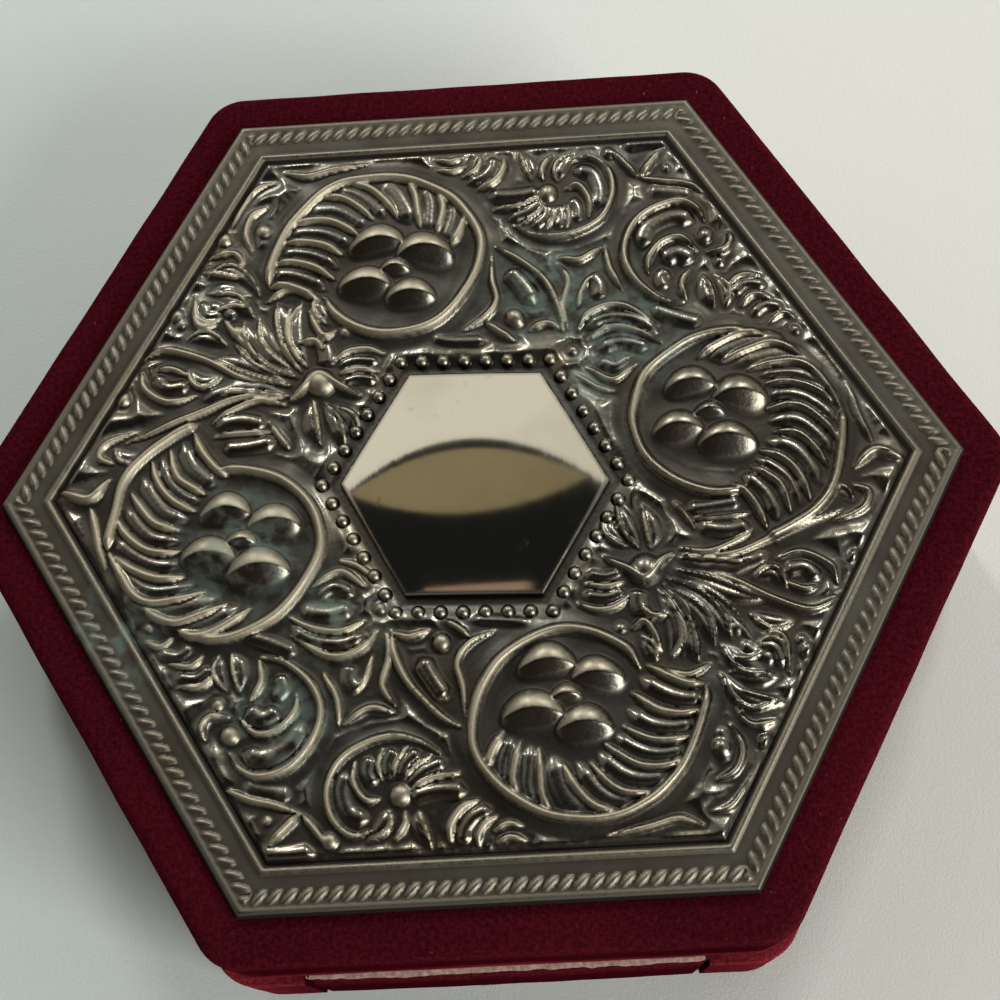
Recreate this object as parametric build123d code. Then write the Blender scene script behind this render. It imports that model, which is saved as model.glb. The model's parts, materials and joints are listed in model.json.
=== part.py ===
"""Hexagonal trinket box: velvet-covered boards, an embossed metal plaque on a hinged lid, and a
shallow drawer in the base.

The frame is +Z up, with the origin at the centre of the resting face. The drawer faces -Y, the
hinges are at +Y, and two corners of the hexagon point along X. All lengths are in millimetres.
"""
from build123d import *

import math
import os

# The case as a whole
LID_ACROSS_FLATS = 127.4
BASE_LEDGE = 1.25
CORNER_ROUND = 10.0
BASE_HEIGHT = 21.0
SEAM_GAP = 0.4
LID_HEIGHT = 18.0
LID_EDGE_ROUND = 2.0
VELVET = 1.0

# Boards and linings of the base
FELT = 1.0
FELT_LIFT = 0.2
TURN_IN = 6.0
FLOOR_BOARD = 3.0
BASE_WALL = 6.0
BAY_HEIGHT = 8.6
TRAY_BOARD = 2.0
TRAY_PAD = 1.6
LINING = 0.7
GLUE_GAP = 0.1

# Boards and linings of the lid
LID_BOARD = 4.0
LID_WALL = 5.0
LID_PAD = 2.0
PAD_CROWN = 0.6

# The drawer
DRAWER_FRONT_BOARD = 2.4
DRAWER_FRONT_LIFT = 1.6
DRAWER_FRONT_BOW = 0.2
DRAWER_FRONT_GAP = 0.25
DRAWER_FRONT_LAP = 3.0
DRAWER_TRIM = 0.4
DRAWER_TRIM_SETBACK = 0.15
DRAWER_WIDTH = 48.0
DRAWER_SIDE = 2.0
DRAWER_BOTTOM = 1.4
DRAWER_PAD = 1.0
DRAWER_RUN_GAP = 0.3
DRAWER_BACK_ROOM = 18.0
GUIDE_WIDTH = 4.0
DRAWER_SIDE_GAP = 0.4

# The two hinges
HINGE_OFFSET = 21.0
HINGE_LENGTH = 18.0
KNUCKLE_DIAMETER = 3.2
KNUCKLE_GAP = 0.2
KNUCKLE_STANDOFF = 0.1
PIN_DIAMETER = 1.6
PIN_CLEARANCE = 0.04
PIN_HEAD_DIAMETER = 2.4
PIN_HEAD_LENGTH = 0.6
LEAF = 0.8
LEAF_DEPTH = 4.6
MORTISE_GAP = 0.1
SCREW_SPACING = 10.0
SCREW_HEAD_DIAMETER = 2.2
SCREW_DIAMETER = 1.2
SCREW_LENGTH = 5.0
SCREW_CLEARANCE = 0.05

# The embossed plaque
PLAQUE_SIDE = 66.3
PLAQUE_ROUND = 1.6
PLAQUE_RIM = 1.2
PLAQUE_SKIN = 0.5
BORDER_WIDTH = 6.0
BORDER_RIDGE = 1.4
BORDER_RISE = 0.5
FIELD_RISE = 0.9
BOSS_ACROSS_FLATS = 32.0
BOSS_RISE = 1.1
BOSS_TAPER_DEGREES = 20.0
BEAD_DIAMETER = 2.2
BEAD_RING_GAP = 1.1
MEDALLION_INNER_RADIUS = 11.2
MEDALLION_OUTER_RADIUS = 14.0
MEDALLION_RING = 2.2
FLUTE_WIDTH = 2.4
FLOWER_RADIUS = 4.4
PETAL_DIAMETER = 5.6
PETAL_RISE = 1.5
LEAF_WIDTH = 2.2
SCROLL_RADIUS = 6.6
SCROLL_RING = 1.6
KNOT_DIAMETER = 5.0

PETAL_COUNT = 5
FLUTE_COUNT = 9
BEADS_PER_SIDE = 7
RING_ARC_DEGREES = 162.0
FLUTE_SWIRL_DEGREES = 24.0

# Places on the plaque as shares of its apothem, for one half: a half turn gives the other
MEDALLION_SHARES = ((-0.187, 0.575), (-0.614, -0.113))
SCROLL_SHARES = ((0.210, 0.730), (-0.515, -0.570))
KNOT_SHARES = ((-0.375, 0.260),)
LEAF_SHARES = (
    ((-0.415, 0.290), (-0.485, 0.480)), ((-0.422, 0.279), (-0.562, 0.435)),
    ((-0.440, 0.258), (-0.648, 0.340)), ((-0.448, 0.233), (-0.640, 0.235)),
    ((-0.350, 0.308), (-0.214, 0.329)), ((-0.395, 0.218), (-0.382, 0.096)),
    ((-0.370, 0.209), (-0.318, 0.087)), ((-0.631, 0.162), (-0.506, 0.160)),
    ((-0.654, 0.566), (-0.527, 0.510)), ((-0.640, 0.514), (-0.537, 0.444)),
    ((0.466, -0.228), (0.849, -0.136)), ((0.483, -0.266), (0.823, -0.350)),
    ((0.093, 0.538), (0.156, 0.441)), ((0.278, 0.373), (0.455, 0.343)),
    ((0.306, 0.312), (0.431, 0.305)), ((0.436, 0.409), (0.567, 0.361)),
    ((0.570, 0.496), (0.591, 0.399)), ((0.403, 0.866), (0.536, 0.866)),
    ((0.431, 0.775), (0.609, 0.719)), ((0.936, 0.019), (0.891, 0.183)),
)

# Angle at which each medallion's ring starts, and the hand that it winds
MEDALLION_TURNS = ((-155.0, 1), (75.0, -1))

# Ends of each leaf's knuckles as shares of the hinge's length
OUTER_KNUCKLE_SHARES = ((0, 1 / 3), (2 / 3, 1))
MIDDLE_KNUCKLE_SHARES = ((1 / 3, 2 / 3),)

# Reach of a cutting solid past the surface that it cuts
OVERRUN = 20.0

# Sizes worked out from those above
HEX_SIDE_RATIO = 2.0 / math.sqrt(3.0)
SIDE_NAMES = {-90: "front", -30: "front_right", 30: "back_right", 90: "back", 150: "back_left",
              210: "front_left"}
lid_apothem = LID_ACROSS_FLATS / 2
base_apothem = lid_apothem + BASE_LEDGE
base_core = base_apothem - VELVET
lid_core = lid_apothem - VELVET
core_round = CORNER_ROUND - VELVET
base_inside = base_core - BASE_WALL
lid_inside = lid_core - LID_WALL
floor_top = FELT + FLOOR_BOARD
tray_low = floor_top + BAY_HEIGHT
tray_top = tray_low + TRAY_BOARD
lid_low = BASE_HEIGHT + SEAM_GAP
lid_top = lid_low + LID_HEIGHT
lid_board_top = lid_top - VELVET
lid_board_low = lid_board_top - LID_BOARD
plaque_apothem = PLAQUE_SIDE / HEX_SIDE_RATIO
plaque_top = lid_top + PLAQUE_RIM
front_back_face = -base_core + DRAWER_FRONT_BOARD
front_recess = front_back_face + DRAWER_FRONT_GAP
hinge_y = base_apothem + KNUCKLE_STANDOFF + KNUCKLE_DIAMETER / 2
hinge_z = BASE_HEIGHT + SEAM_GAP / 2


def hexagon(apothem, corner_round=0):
    """A hexagon with corners on the X axis, sharp or rounded."""
    outline = RegularPolygon(apothem, 6, major_radius=False)
    if corner_round > 0:
        outline = fillet(outline.vertices(), corner_round)
    return outline


def slab(apothem, low, high, corner_round=0):
    """An upright hexagonal slab."""
    return extrude(Plane.XY.offset(low) * hexagon(apothem, corner_round), amount=high - low)


def frame(outer, inner, low, high, corner_round=0):
    """An upright hexagonal frame with a sharp-cornered inside."""
    return slab(outer, low, high, corner_round) - slab(inner, low, high)


def block(x_range, y_range, z_range):
    """A box between two limits on each axis."""
    spans = (x_range, y_range, z_range)
    middle = [(low + high) / 2 for low, high in spans]
    size = [high - low for low, high in spans]
    return Pos(*middle) * Box(*size)


def rod(diameter, length, centre):
    """A cylinder along X about a centre."""
    return Pos(*centre) * Rot(0, 90, 0) * Cylinder(diameter / 2, length)


def inside_reach(apothem, x):
    """How far a hexagon's inside reaches along Y at a distance x from the middle."""
    return min(apothem, 2 * apothem - math.sqrt(3) * x)


def mitred_walls(outer, outer_round, inner, low, high):
    """Six boards that make a hexagonal wall, named by the way they face."""
    ring = frame(outer, inner, low, high, outer_round)
    reach = 2 * outer
    walls = {}
    for angle, name in SIDE_NAMES.items():
        first, last = math.radians(angle - 30), math.radians(angle + 30)
        corners = [(reach * math.cos(turn), reach * math.sin(turn)) for turn in (first, last)]
        sector = make_face(Polyline((0, 0), *corners, close=True))
        walls[name] = ring & extrude(Plane.XY.offset(low) * sector, amount=high - low)
    return walls


def crowned_pad(apothem, low, thick, upward=True):
    """A padded hexagonal panel whose face swells towards the middle."""
    swell = (apothem * HEX_SIDE_RATIO) ** 2 / (2 * PAD_CROWN)
    pad = slab(apothem, low, low + thick)
    centre = low + thick - swell if upward else low + swell
    return pad & (Pos(0, 0, centre) * Sphere(swell))


def hinge_centres():
    """The middle of each hinge, by its side."""
    return {"left": -HINGE_OFFSET, "right": HINGE_OFFSET}


def screw_places():
    """X and Y of every hinge screw, clear of the lid's cover."""
    y = (base_apothem - LEAF_DEPTH + lid_core) / 2
    steps = (-SCREW_SPACING / 2, SCREW_SPACING / 2)
    return [(centre + step, y) for centre in hinge_centres().values() for step in steps]


def mortises(low, high):
    """The shallow seats that the hinge leaves are let into."""
    half = HINGE_LENGTH / 2 + MORTISE_GAP
    inner = base_apothem - LEAF_DEPTH - MORTISE_GAP
    outer = base_apothem + OVERRUN
    return [block((x - half, x + half), (inner, outer), (low, high)) for x in hinge_centres().values()]


def countersunk(face, direction, clearance=0):
    """The shape of every hinge screw, or of its hole when it has a clearance."""
    hanging = (Align.CENTER, Align.CENTER, Align.MAX)
    shank_radius = SCREW_DIAMETER / 2 + clearance
    head = Cone(shank_radius, SCREW_HEAD_DIAMETER / 2 + clearance, LEAF, align=hanging)
    shank = Cylinder(shank_radius, SCREW_LENGTH + clearance, align=hanging)
    turn = 0 if direction < 0 else 180
    shape = Rot(turn, 0, 0) * (head + shank)
    return [Pos(x, y, face) * shape for x, y in screw_places()]


def hinge_leaf(centre, face, direction, knuckles):
    """A leaf lying in its mortise, with its share of the knuckles."""
    low, high = sorted((face, face + direction * LEAF))
    inner = base_apothem - LEAF_DEPTH
    edge = hinge_y - KNUCKLE_DIAMETER / 2 - KNUCKLE_GAP
    half = HINGE_LENGTH / 2
    leaf = block((centre - half, centre + half), (inner, edge), (low, high))
    for first, last in knuckles:
        start, stop = centre - half + first * HINGE_LENGTH, centre - half + last * HINGE_LENGTH
        start += KNUCKLE_GAP / 2 if first > 0 else 0
        stop -= KNUCKLE_GAP / 2 if last < 1 else 0
        middle = ((start + stop) / 2, hinge_y, hinge_z)
        leaf += block((start, stop), (edge, hinge_y), (low, high))
        leaf += rod(KNUCKLE_DIAMETER, stop - start, middle)
    bore = rod(PIN_DIAMETER + 2 * PIN_CLEARANCE, HINGE_LENGTH + OVERRUN, (centre, hinge_y, hinge_z))
    return leaf - bore - countersunk(face, direction, SCREW_CLEARANCE)


def hinge_pin(centre):
    """A pin with a small head at each end."""
    pin = rod(PIN_DIAMETER, HINGE_LENGTH + 2 * PIN_HEAD_LENGTH, (centre, hinge_y, hinge_z))
    for side in (-1, 1):
        x = centre + side * (HINGE_LENGTH + PIN_HEAD_LENGTH) / 2
        pin += rod(PIN_HEAD_DIAMETER, PIN_HEAD_LENGTH, (x, hinge_y, hinge_z))
    return pin


def front_notch():
    """The room that the drawer front takes out of the base."""
    half = DRAWER_WIDTH / 2 + DRAWER_FRONT_LAP + DRAWER_SIDE_GAP
    outer = -base_apothem - OVERRUN
    return block((-half, half), (outer, front_recess), (-OVERRUN, BASE_HEIGHT + OVERRUN))


def drawer_mouth():
    """The opening that the drawer slides through."""
    half = DRAWER_WIDTH / 2 + DRAWER_SIDE_GAP
    return block((-half, half), (-base_apothem - OVERRUN, -base_inside + OVERRUN), (floor_top, tray_low))


def base_parts():
    """The case, its tray, the drawer's guides and the fixed half of the hinges."""
    inner_felt = base_apothem - VELVET - TURN_IN
    cover = slab(base_apothem, FELT_LIFT, BASE_HEIGHT, CORNER_ROUND)
    cover -= slab(base_core, FELT, BASE_HEIGHT + OVERRUN, core_round)
    cover -= slab(inner_felt, -OVERRUN, BASE_HEIGHT)
    seats = mortises(BASE_HEIGHT - LEAF, BASE_HEIGHT + OVERRUN)
    parts = {
        "base_felt": slab(inner_felt - GLUE_GAP, 0, FELT),
        "base_floor": slab(base_core, FELT, floor_top, core_round) - front_notch(),
        "base_velvet": cover - front_notch() - seats,
        "tray_floor": slab(base_inside - GLUE_GAP, tray_low, tray_top),
    }
    holes = countersunk(BASE_HEIGHT, -1, SCREW_CLEARANCE)
    for name, wall in mitred_walls(base_core, core_round, base_inside, floor_top, BASE_HEIGHT).items():
        if name == "front":
            wall = wall - front_notch() - drawer_mouth()
        if name == "back":
            wall = wall - seats - holes
        parts["base_wall_" + name] = wall
    lining_face = base_inside - GLUE_GAP
    lining_inner = lining_face - LINING
    parts["tray_lining"] = frame(lining_face, lining_inner, tray_top, BASE_HEIGHT)
    parts["tray_pad"] = crowned_pad(lining_inner - GLUE_GAP, tray_top, TRAY_PAD)
    guide_inner = DRAWER_WIDTH / 2 + DRAWER_SIDE_GAP
    guide_outer = guide_inner + GUIDE_WIDTH
    reach = inside_reach(base_inside, guide_outer) - GLUE_GAP
    for name, side in (("left", -1), ("right", 1)):
        x_range = sorted((side * guide_inner, side * guide_outer))
        parts["drawer_guide_" + name] = block(x_range, (-reach, reach), (floor_top, tray_low))
    for name, centre in hinge_centres().items():
        leaf = hinge_leaf(centre, BASE_HEIGHT, -1, OUTER_KNUCKLE_SHARES)
        parts["hinge_base_leaf_" + name] = leaf
        parts["hinge_pin_" + name] = hinge_pin(centre)
    parts["base_hinge_screws"] = countersunk(BASE_HEIGHT, -1)
    return parts


def lid_parts():
    """The lid's boards, cover and linings, the plaque and the moving half of the hinges."""
    cover = slab(lid_apothem, lid_low, lid_top, CORNER_ROUND)
    top_edges = cover.edges().group_by(Axis.Z)[-1]
    cover = fillet(top_edges, LID_EDGE_ROUND)
    cover -= slab(lid_core, -OVERRUN, lid_board_top, core_round)
    seats = mortises(lid_low - OVERRUN, lid_low + LEAF)
    parts = {
        "lid_top_board": slab(lid_core, lid_board_low, lid_board_top, core_round),
        "lid_velvet": cover - seats,
    }
    holes = countersunk(lid_low, 1, SCREW_CLEARANCE)
    for name, wall in mitred_walls(lid_core, core_round, lid_inside, lid_low, lid_board_low).items():
        if name == "back":
            wall = wall - seats - holes
        parts["lid_wall_" + name] = wall
    lining_face = lid_inside - GLUE_GAP
    lining_top = lid_board_low - LID_PAD
    lining_inner = lining_face - LINING
    parts["lid_lining"] = frame(lining_face, lining_inner, lid_low, lining_top)
    parts["lid_pad"] = crowned_pad(lining_face, lining_top, LID_PAD, upward=False)
    for name, centre in hinge_centres().items():
        leaf = hinge_leaf(centre, lid_low, 1, MIDDLE_KNUCKLE_SHARES)
        parts["hinge_lid_leaf_" + name] = leaf
    parts["lid_hinge_screws"] = countersunk(lid_low, 1)
    return parts


def half_turn_pairs(shares):
    """Places on the plaque and their partners across its middle."""
    places = [(plaque_apothem * x, plaque_apothem * y) for x, y in shares]
    return places + [(-x, -y) for x, y in places]


def on_circle(radius, degrees):
    """A point on a circle about the origin."""
    return Vector(radius * math.cos(math.radians(degrees)), radius * math.sin(math.radians(degrees)))


def round_bar(start, end, width):
    """A straight bar of round section with round ends."""
    run = Plane(origin=start, z_dir=end - start)
    bar = extrude(run * Circle(width / 2), amount=(end - start).length)
    return bar + [Pos(*spot) * Sphere(width / 2) for spot in (start, end)]


def ring_arc(centre, radius, first, hand):
    """Part of a round ring, from a first angle on."""
    low = first if hand > 0 else first - RING_ARC_DEGREES
    bend = Torus(radius, MEDALLION_RING / 2, major_angle=RING_ARC_DEGREES, align=None)
    return Pos(*centre) * Rot(0, 0, low) * bend


def flutes(first, hand, shift):
    """Fingers that curl in from the wide half of a medallion's ring to its flower."""
    inner = FLOWER_RADIUS + (PETAL_DIAMETER + FLUTE_WIDTH) / 2
    outer = MEDALLION_OUTER_RADIUS - (MEDALLION_RING + FLUTE_WIDTH) / 2
    bars = []
    for number in range(FLUTE_COUNT):
        turn = first + hand * RING_ARC_DEGREES * (1 + (number + 0.5) / FLUTE_COUNT)
        start = on_circle(inner, turn - hand * FLUTE_SWIRL_DEGREES)
        bars.append(round_bar(start, shift + on_circle(outer, turn), FLUTE_WIDTH))
    return bars


def medallion(first, hand):
    """A ring that winds outwards in two arcs, with flutes and a five-petalled flower inside it."""
    join = first + hand * RING_ARC_DEGREES
    shift = on_circle(MEDALLION_INNER_RADIUS - MEDALLION_OUTER_RADIUS, join)
    pieces = [ring_arc(Vector(), MEDALLION_INNER_RADIUS, first, hand)]
    pieces.append(ring_arc(shift, MEDALLION_OUTER_RADIUS, join, hand))
    pieces += flutes(first, hand, shift)
    petal = Pos(0, 0, PETAL_RISE - PETAL_DIAMETER / 2) * Sphere(PETAL_DIAMETER / 2)
    pieces += [spot * petal for spot in PolarLocations(FLOWER_RADIUS, PETAL_COUNT)]
    pieces.append(Sphere(BEAD_DIAMETER / 2))
    return pieces


def bead_places():
    """Beads in a row round the boss."""
    apothem = BOSS_ACROSS_FLATS / 2 + BEAD_RING_GAP + BEAD_DIAMETER / 2
    corner = apothem * HEX_SIDE_RATIO
    places = []
    for side in range(6):
        first, last = math.radians(60 * side), math.radians(60 * side + 60)
        for step in range(BEADS_PER_SIDE):
            share = step / BEADS_PER_SIDE
            x = corner * ((1 - share) * math.cos(first) + share * math.cos(last))
            y = corner * ((1 - share) * math.sin(first) + share * math.sin(last))
            places.append((x, y))
    return places


def boss(apothem, low, high):
    """The raised hexagon in the middle of the plaque, with sloping sides."""
    foot = Plane.XY.offset(low) * hexagon(apothem)
    return extrude(foot, amount=high - low, taper=BOSS_TAPER_DEGREES)


def plaque_parts():
    """The embossed metal plate and the packing that fills its hollow back."""
    field = plaque_apothem - BORDER_WIDTH
    field_top = plaque_top + FIELD_RISE
    boss_half = BOSS_ACROSS_FLATS / 2
    boss_top = field_top + BOSS_RISE
    plate = slab(plaque_apothem, lid_top, plaque_top, PLAQUE_ROUND)
    plate += slab(field, plaque_top, field_top)
    plate += frame(field + BORDER_RIDGE, field, plaque_top, field_top + BORDER_RISE)
    lip_inner = plaque_apothem - BORDER_RIDGE
    plate += frame(plaque_apothem, lip_inner, plaque_top, plaque_top + BORDER_RISE, PLAQUE_ROUND)
    plate += boss(boss_half, plaque_top, boss_top)
    reliefs = []
    turns = MEDALLION_TURNS + tuple((first + 180, hand) for first, hand in MEDALLION_TURNS)
    for (x, y), (first, hand) in zip(half_turn_pairs(MEDALLION_SHARES), turns):
        reliefs += [Pos(x, y, field_top) * piece for piece in medallion(first, hand)]
    roots = half_turn_pairs([leaf[0] for leaf in LEAF_SHARES])
    tips = half_turn_pairs([leaf[1] for leaf in LEAF_SHARES])
    for root, tip in zip(roots, tips):
        reliefs.append(Pos(0, 0, field_top) * round_bar(Vector(*root), Vector(*tip), LEAF_WIDTH))
    for x, y in half_turn_pairs(SCROLL_SHARES):
        reliefs.append(Pos(x, y, field_top) * Torus(SCROLL_RADIUS, SCROLL_RING / 2))
        reliefs.append(Pos(x, y, field_top) * Sphere(SCROLL_RING))
    for x, y in half_turn_pairs(KNOT_SHARES):
        reliefs.append(Pos(x, y, field_top) * Sphere(KNOT_DIAMETER / 2))
    reliefs += [Pos(x, y, field_top) * Sphere(BEAD_DIAMETER / 2) for x, y in bead_places()]
    above = slab(plaque_apothem, field_top, field_top + OVERRUN)
    plate += [relief & above for relief in reliefs]
    packing = slab(plaque_apothem - PLAQUE_SKIN, lid_top, plaque_top - PLAQUE_SKIN)
    packing += slab(field - PLAQUE_SKIN, lid_top, field_top - PLAQUE_SKIN)
    packing += boss(boss_half - PLAQUE_SKIN, plaque_top - PLAQUE_SKIN, boss_top - PLAQUE_SKIN)
    return {"plaque": plate - packing, "plaque_packing": packing}


def bowed_strip(back, front, low, high):
    """An upright panel as wide as the drawer's front, with a flat back and a gently bowed face."""
    half = DRAWER_WIDTH / 2 + DRAWER_FRONT_LAP
    arc = ThreePointArc((-half, front), (0, front - DRAWER_FRONT_BOW), (half, front))
    sides = Polyline((-half, front), (-half, back), (half, back), (half, front))
    return extrude(Plane.XY.offset(low) * make_face([arc, sides]), amount=high - low)


def drawer_parts():
    """The drawer's covered front, its box and its lining."""
    start = front_back_face
    front_high = BASE_HEIGHT - DRAWER_TRIM
    board = bowed_strip(start, -base_core, DRAWER_FRONT_LIFT, front_high)
    covered = bowed_strip(start, -base_apothem, DRAWER_FRONT_LIFT, front_high)
    trim = bowed_strip(start, -base_apothem + DRAWER_TRIM_SETBACK, front_high, BASE_HEIGHT)
    half = DRAWER_WIDTH / 2
    inner = half - DRAWER_SIDE
    back = inside_reach(base_inside, half) - DRAWER_BACK_ROOM
    back_inner = back - DRAWER_SIDE
    box_z = (floor_top + DRAWER_RUN_GAP, tray_low - DRAWER_RUN_GAP)
    bottom_z = (box_z[0], box_z[0] + DRAWER_BOTTOM)
    pad_z = (bottom_z[1], bottom_z[1] + DRAWER_PAD)
    pad_half = inner - GLUE_GAP
    pad_y = (start + GLUE_GAP, back_inner - GLUE_GAP)
    return {
        "drawer_front": board,
        "drawer_front_velvet": covered - board,
        "drawer_front_trim": trim,
        "drawer_side_left": block((-half, -inner), (start, back), box_z),
        "drawer_side_right": block((inner, half), (start, back), box_z),
        "drawer_back": block((-inner, inner), (back_inner, back), box_z),
        "drawer_bottom": block((-inner, inner), (start, back_inner), bottom_z),
        "drawer_pad": block((-pad_half, pad_half), pad_y, pad_z),
    }


def write(parts):
    """One file for each node, with a group of solids where a node has several."""
    os.makedirs("parts", exist_ok=True)
    for name, shape in parts.items():
        whole = Compound(children=shape) if isinstance(shape, list) else shape
        whole.label = name
        export_step(whole, os.path.join("parts", name + ".step"))
        print(name, round(whole.volume))


write(base_parts() | lid_parts() | plaque_parts() | drawer_parts())
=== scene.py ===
# %% [markdown]
# # A six-sided velvet box with a stamped plaque
# The box is a low hexagonal case. Dark red velvet covers the lid and the base, a stamped and tarnished
# silver plaque covers nearly all of the lid, and a shallow drawer slides out of the base at the front.
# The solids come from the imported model. This file gives each of them its finish, and swaps the soft
# ones and the plaque for meshes with more shape. Lengths are millimetres, apart from those inside the
# finishes, which are metres.

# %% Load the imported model
import json
import math

import bpy
import numpy as np
from mathutils import Matrix, Vector
from mathutils import noise as perlin
from mathutils.kdtree import KDTree


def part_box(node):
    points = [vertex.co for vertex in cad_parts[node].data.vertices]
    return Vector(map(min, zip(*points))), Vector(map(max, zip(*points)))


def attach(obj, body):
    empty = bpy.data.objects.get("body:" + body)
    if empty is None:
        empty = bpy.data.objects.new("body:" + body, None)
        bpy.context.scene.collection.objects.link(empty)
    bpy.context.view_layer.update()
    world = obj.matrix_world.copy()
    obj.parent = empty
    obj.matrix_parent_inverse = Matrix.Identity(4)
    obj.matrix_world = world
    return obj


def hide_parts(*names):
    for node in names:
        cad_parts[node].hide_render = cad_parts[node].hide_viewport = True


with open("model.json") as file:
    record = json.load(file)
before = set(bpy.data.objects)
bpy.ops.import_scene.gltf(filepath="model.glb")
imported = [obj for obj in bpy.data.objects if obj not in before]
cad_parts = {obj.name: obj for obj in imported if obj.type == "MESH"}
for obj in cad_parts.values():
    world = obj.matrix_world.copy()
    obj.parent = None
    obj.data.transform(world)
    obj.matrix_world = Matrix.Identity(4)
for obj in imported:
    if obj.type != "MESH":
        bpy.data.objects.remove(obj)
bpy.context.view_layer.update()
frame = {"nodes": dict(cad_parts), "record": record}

MM = 0.001


def corners_of(node):
    """A node's lowest and highest corner, in millimetres."""
    low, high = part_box(node)
    return low / MM, high / MM


def add_object(name, data):
    made = bpy.data.objects.new(name, data)
    bpy.context.scene.collection.objects.link(made)
    return made


print("nodes in the frame:", len(frame["nodes"]))

# %% [markdown]
# ## The camera
# A camera is a place, a point to look at and a turn about the line between them. The photograph looks
# down on the lid from just in front of it, with the picture turned a little. The three values were
# fitted to the six corners of the plaque, so they are written as sizes in the box's own frame.

# %% Make the camera
CAMERA_PLACE = Vector((9.3, -77.4, 255.7))
CAMERA_TARGET = Vector((2.73, -3.49, 40.6))
CAMERA_ROLL = math.radians(-8.1)
CAMERA_LENS = 60.05
CAMERA_FILM = 36.0


def make_camera():
    data = bpy.data.cameras.new("camera")
    data.lens = CAMERA_LENS
    data.sensor_width = CAMERA_FILM
    camera = add_object("camera", data)
    aim = (CAMERA_TARGET - CAMERA_PLACE).to_track_quat("-Z", "Y").to_matrix().to_4x4()
    roll = Matrix.Rotation(CAMERA_ROLL, 4, "Z")
    camera.matrix_world = Matrix.Translation(CAMERA_PLACE * MM) @ aim @ roll
    bpy.context.scene.camera = camera


make_camera()
print("camera distance, mm:", round((CAMERA_TARGET - CAMERA_PLACE).length, 1))

# %% [markdown]
# ## Writing shaders as sums
# A finish is a small graph of nodes. Long graphs are hard to read, so two helpers keep them short.
# `Value` wraps one output and turns Python's operators into Math nodes, so `1 - mask` is a node.
# `Finish` owns a material, and its one method `node` adds any other node: its settings first, then
# the values or links of its sockets.

# %% Two helpers for materials
MIX_SHARE, MIX_FIRST, MIX_SECOND, MIX_RESULT = 0, 6, 7, 2


class Value:
    """One number in a material's graph."""

    def __init__(self, finish, socket):
        self.finish = finish
        self.socket = socket

    def maths(self, operation, *numbers):
        inputs = dict(enumerate(numbers))
        return self.finish.node("ShaderNodeMath", {"operation": operation}, inputs)

    def __add__(self, other):
        return self.maths("ADD", self, other)

    def __sub__(self, other):
        return self.maths("SUBTRACT", self, other)

    def __mul__(self, other):
        return self.maths("MULTIPLY", self, other)

    def __truediv__(self, other):
        return self.maths("DIVIDE", self, other)

    def __rsub__(self, other):
        return self.maths("SUBTRACT", other, self)

    __radd__ = __add__

    def clipped(self, low, high):
        """0 at low and under, 1 at high and over, and a smooth step between."""
        inputs = {"Value": self, "From Min": low, "From Max": high}
        return self.finish.node("ShaderNodeMapRange", {"interpolation_type": "SMOOTHSTEP"}, inputs)


class Finish:
    """A material, or the world, and the nodes that colour it."""

    def __init__(self, owner):
        owner.use_nodes = True
        self.owner = owner
        self.tree = owner.node_tree

    def node(self, kind, settings=None, inputs=None, output=0):
        made = self.tree.nodes.new(kind)
        for name, setting in (settings or {}).items():
            setattr(made, name, setting)
        for key, value in (inputs or {}).items():
            self.plug(made.inputs[key], value)
        return Value(self, made.outputs[output])

    def plug(self, socket, value):
        if isinstance(value, Value):
            self.tree.links.new(value.socket, socket)
        else:
            socket.default_value = value

    def place(self, stretch=(1, 1, 1)):
        """Where a point lies on the box, in metres, stretched along each axis."""
        where = self.node("ShaderNodeTexCoord", output="Object")
        return self.node("ShaderNodeVectorMath", {"operation": "MULTIPLY"}, {0: where, 1: stretch})

    def grain(self, per_metre, detail=3.0, stretch=(1, 1, 1), rough=0.5):
        """Soft noise from 0 to 1 with so many blotches in a metre."""
        inputs = {"Vector": self.place(stretch), "Scale": per_metre, "Detail": detail, "Roughness": rough}
        return self.node("ShaderNodeTexNoise", {}, inputs)

    def split(self, vector):
        """The three numbers of a vector."""
        first = self.node("ShaderNodeSeparateXYZ", {}, {0: vector})
        return [Value(self, output) for output in first.socket.node.outputs]

    def painted(self, name):
        """A number that the mesh keeps for each of its points."""
        return self.node("ShaderNodeAttribute", {"attribute_name": name}, output="Fac")

    def mix(self, share, first, second):
        """The first colour at share 0 and the second at 1. The node knows these sockets by number."""
        inputs = {MIX_SHARE: share, MIX_FIRST: first, MIX_SECOND: second}
        return self.node("ShaderNodeMix", {"data_type": "RGBA"}, inputs, MIX_RESULT)

    def bump(self, height, depth):
        """A normal from small heights, depth metres from 0 to 1."""
        return self.node("ShaderNodeBump", {}, {"Height": height, "Distance": depth})

    def surface(self, **sockets):
        """Set the shader's sockets. An underscore in a name stands for a space."""
        shader = self.tree.nodes["Principled BSDF"]
        for name, value in sockets.items():
            self.plug(shader.inputs[name.replace("_", " ")], value)
        return self.owner


def new_finish(name):
    return Finish(bpy.data.materials.new(name))


def colour(red, green, blue):
    """A colour written as it looks on a screen, from 0 to 255, as the shader's light values."""
    shares = (channel / 255 for channel in (red, green, blue))
    linear = [c / 12.92 if c <= 0.04045 else ((c + 0.055) / 1.055) ** 2.4 for c in shares]
    return (*linear, 1.0)


print("shader helpers are ready")
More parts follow.
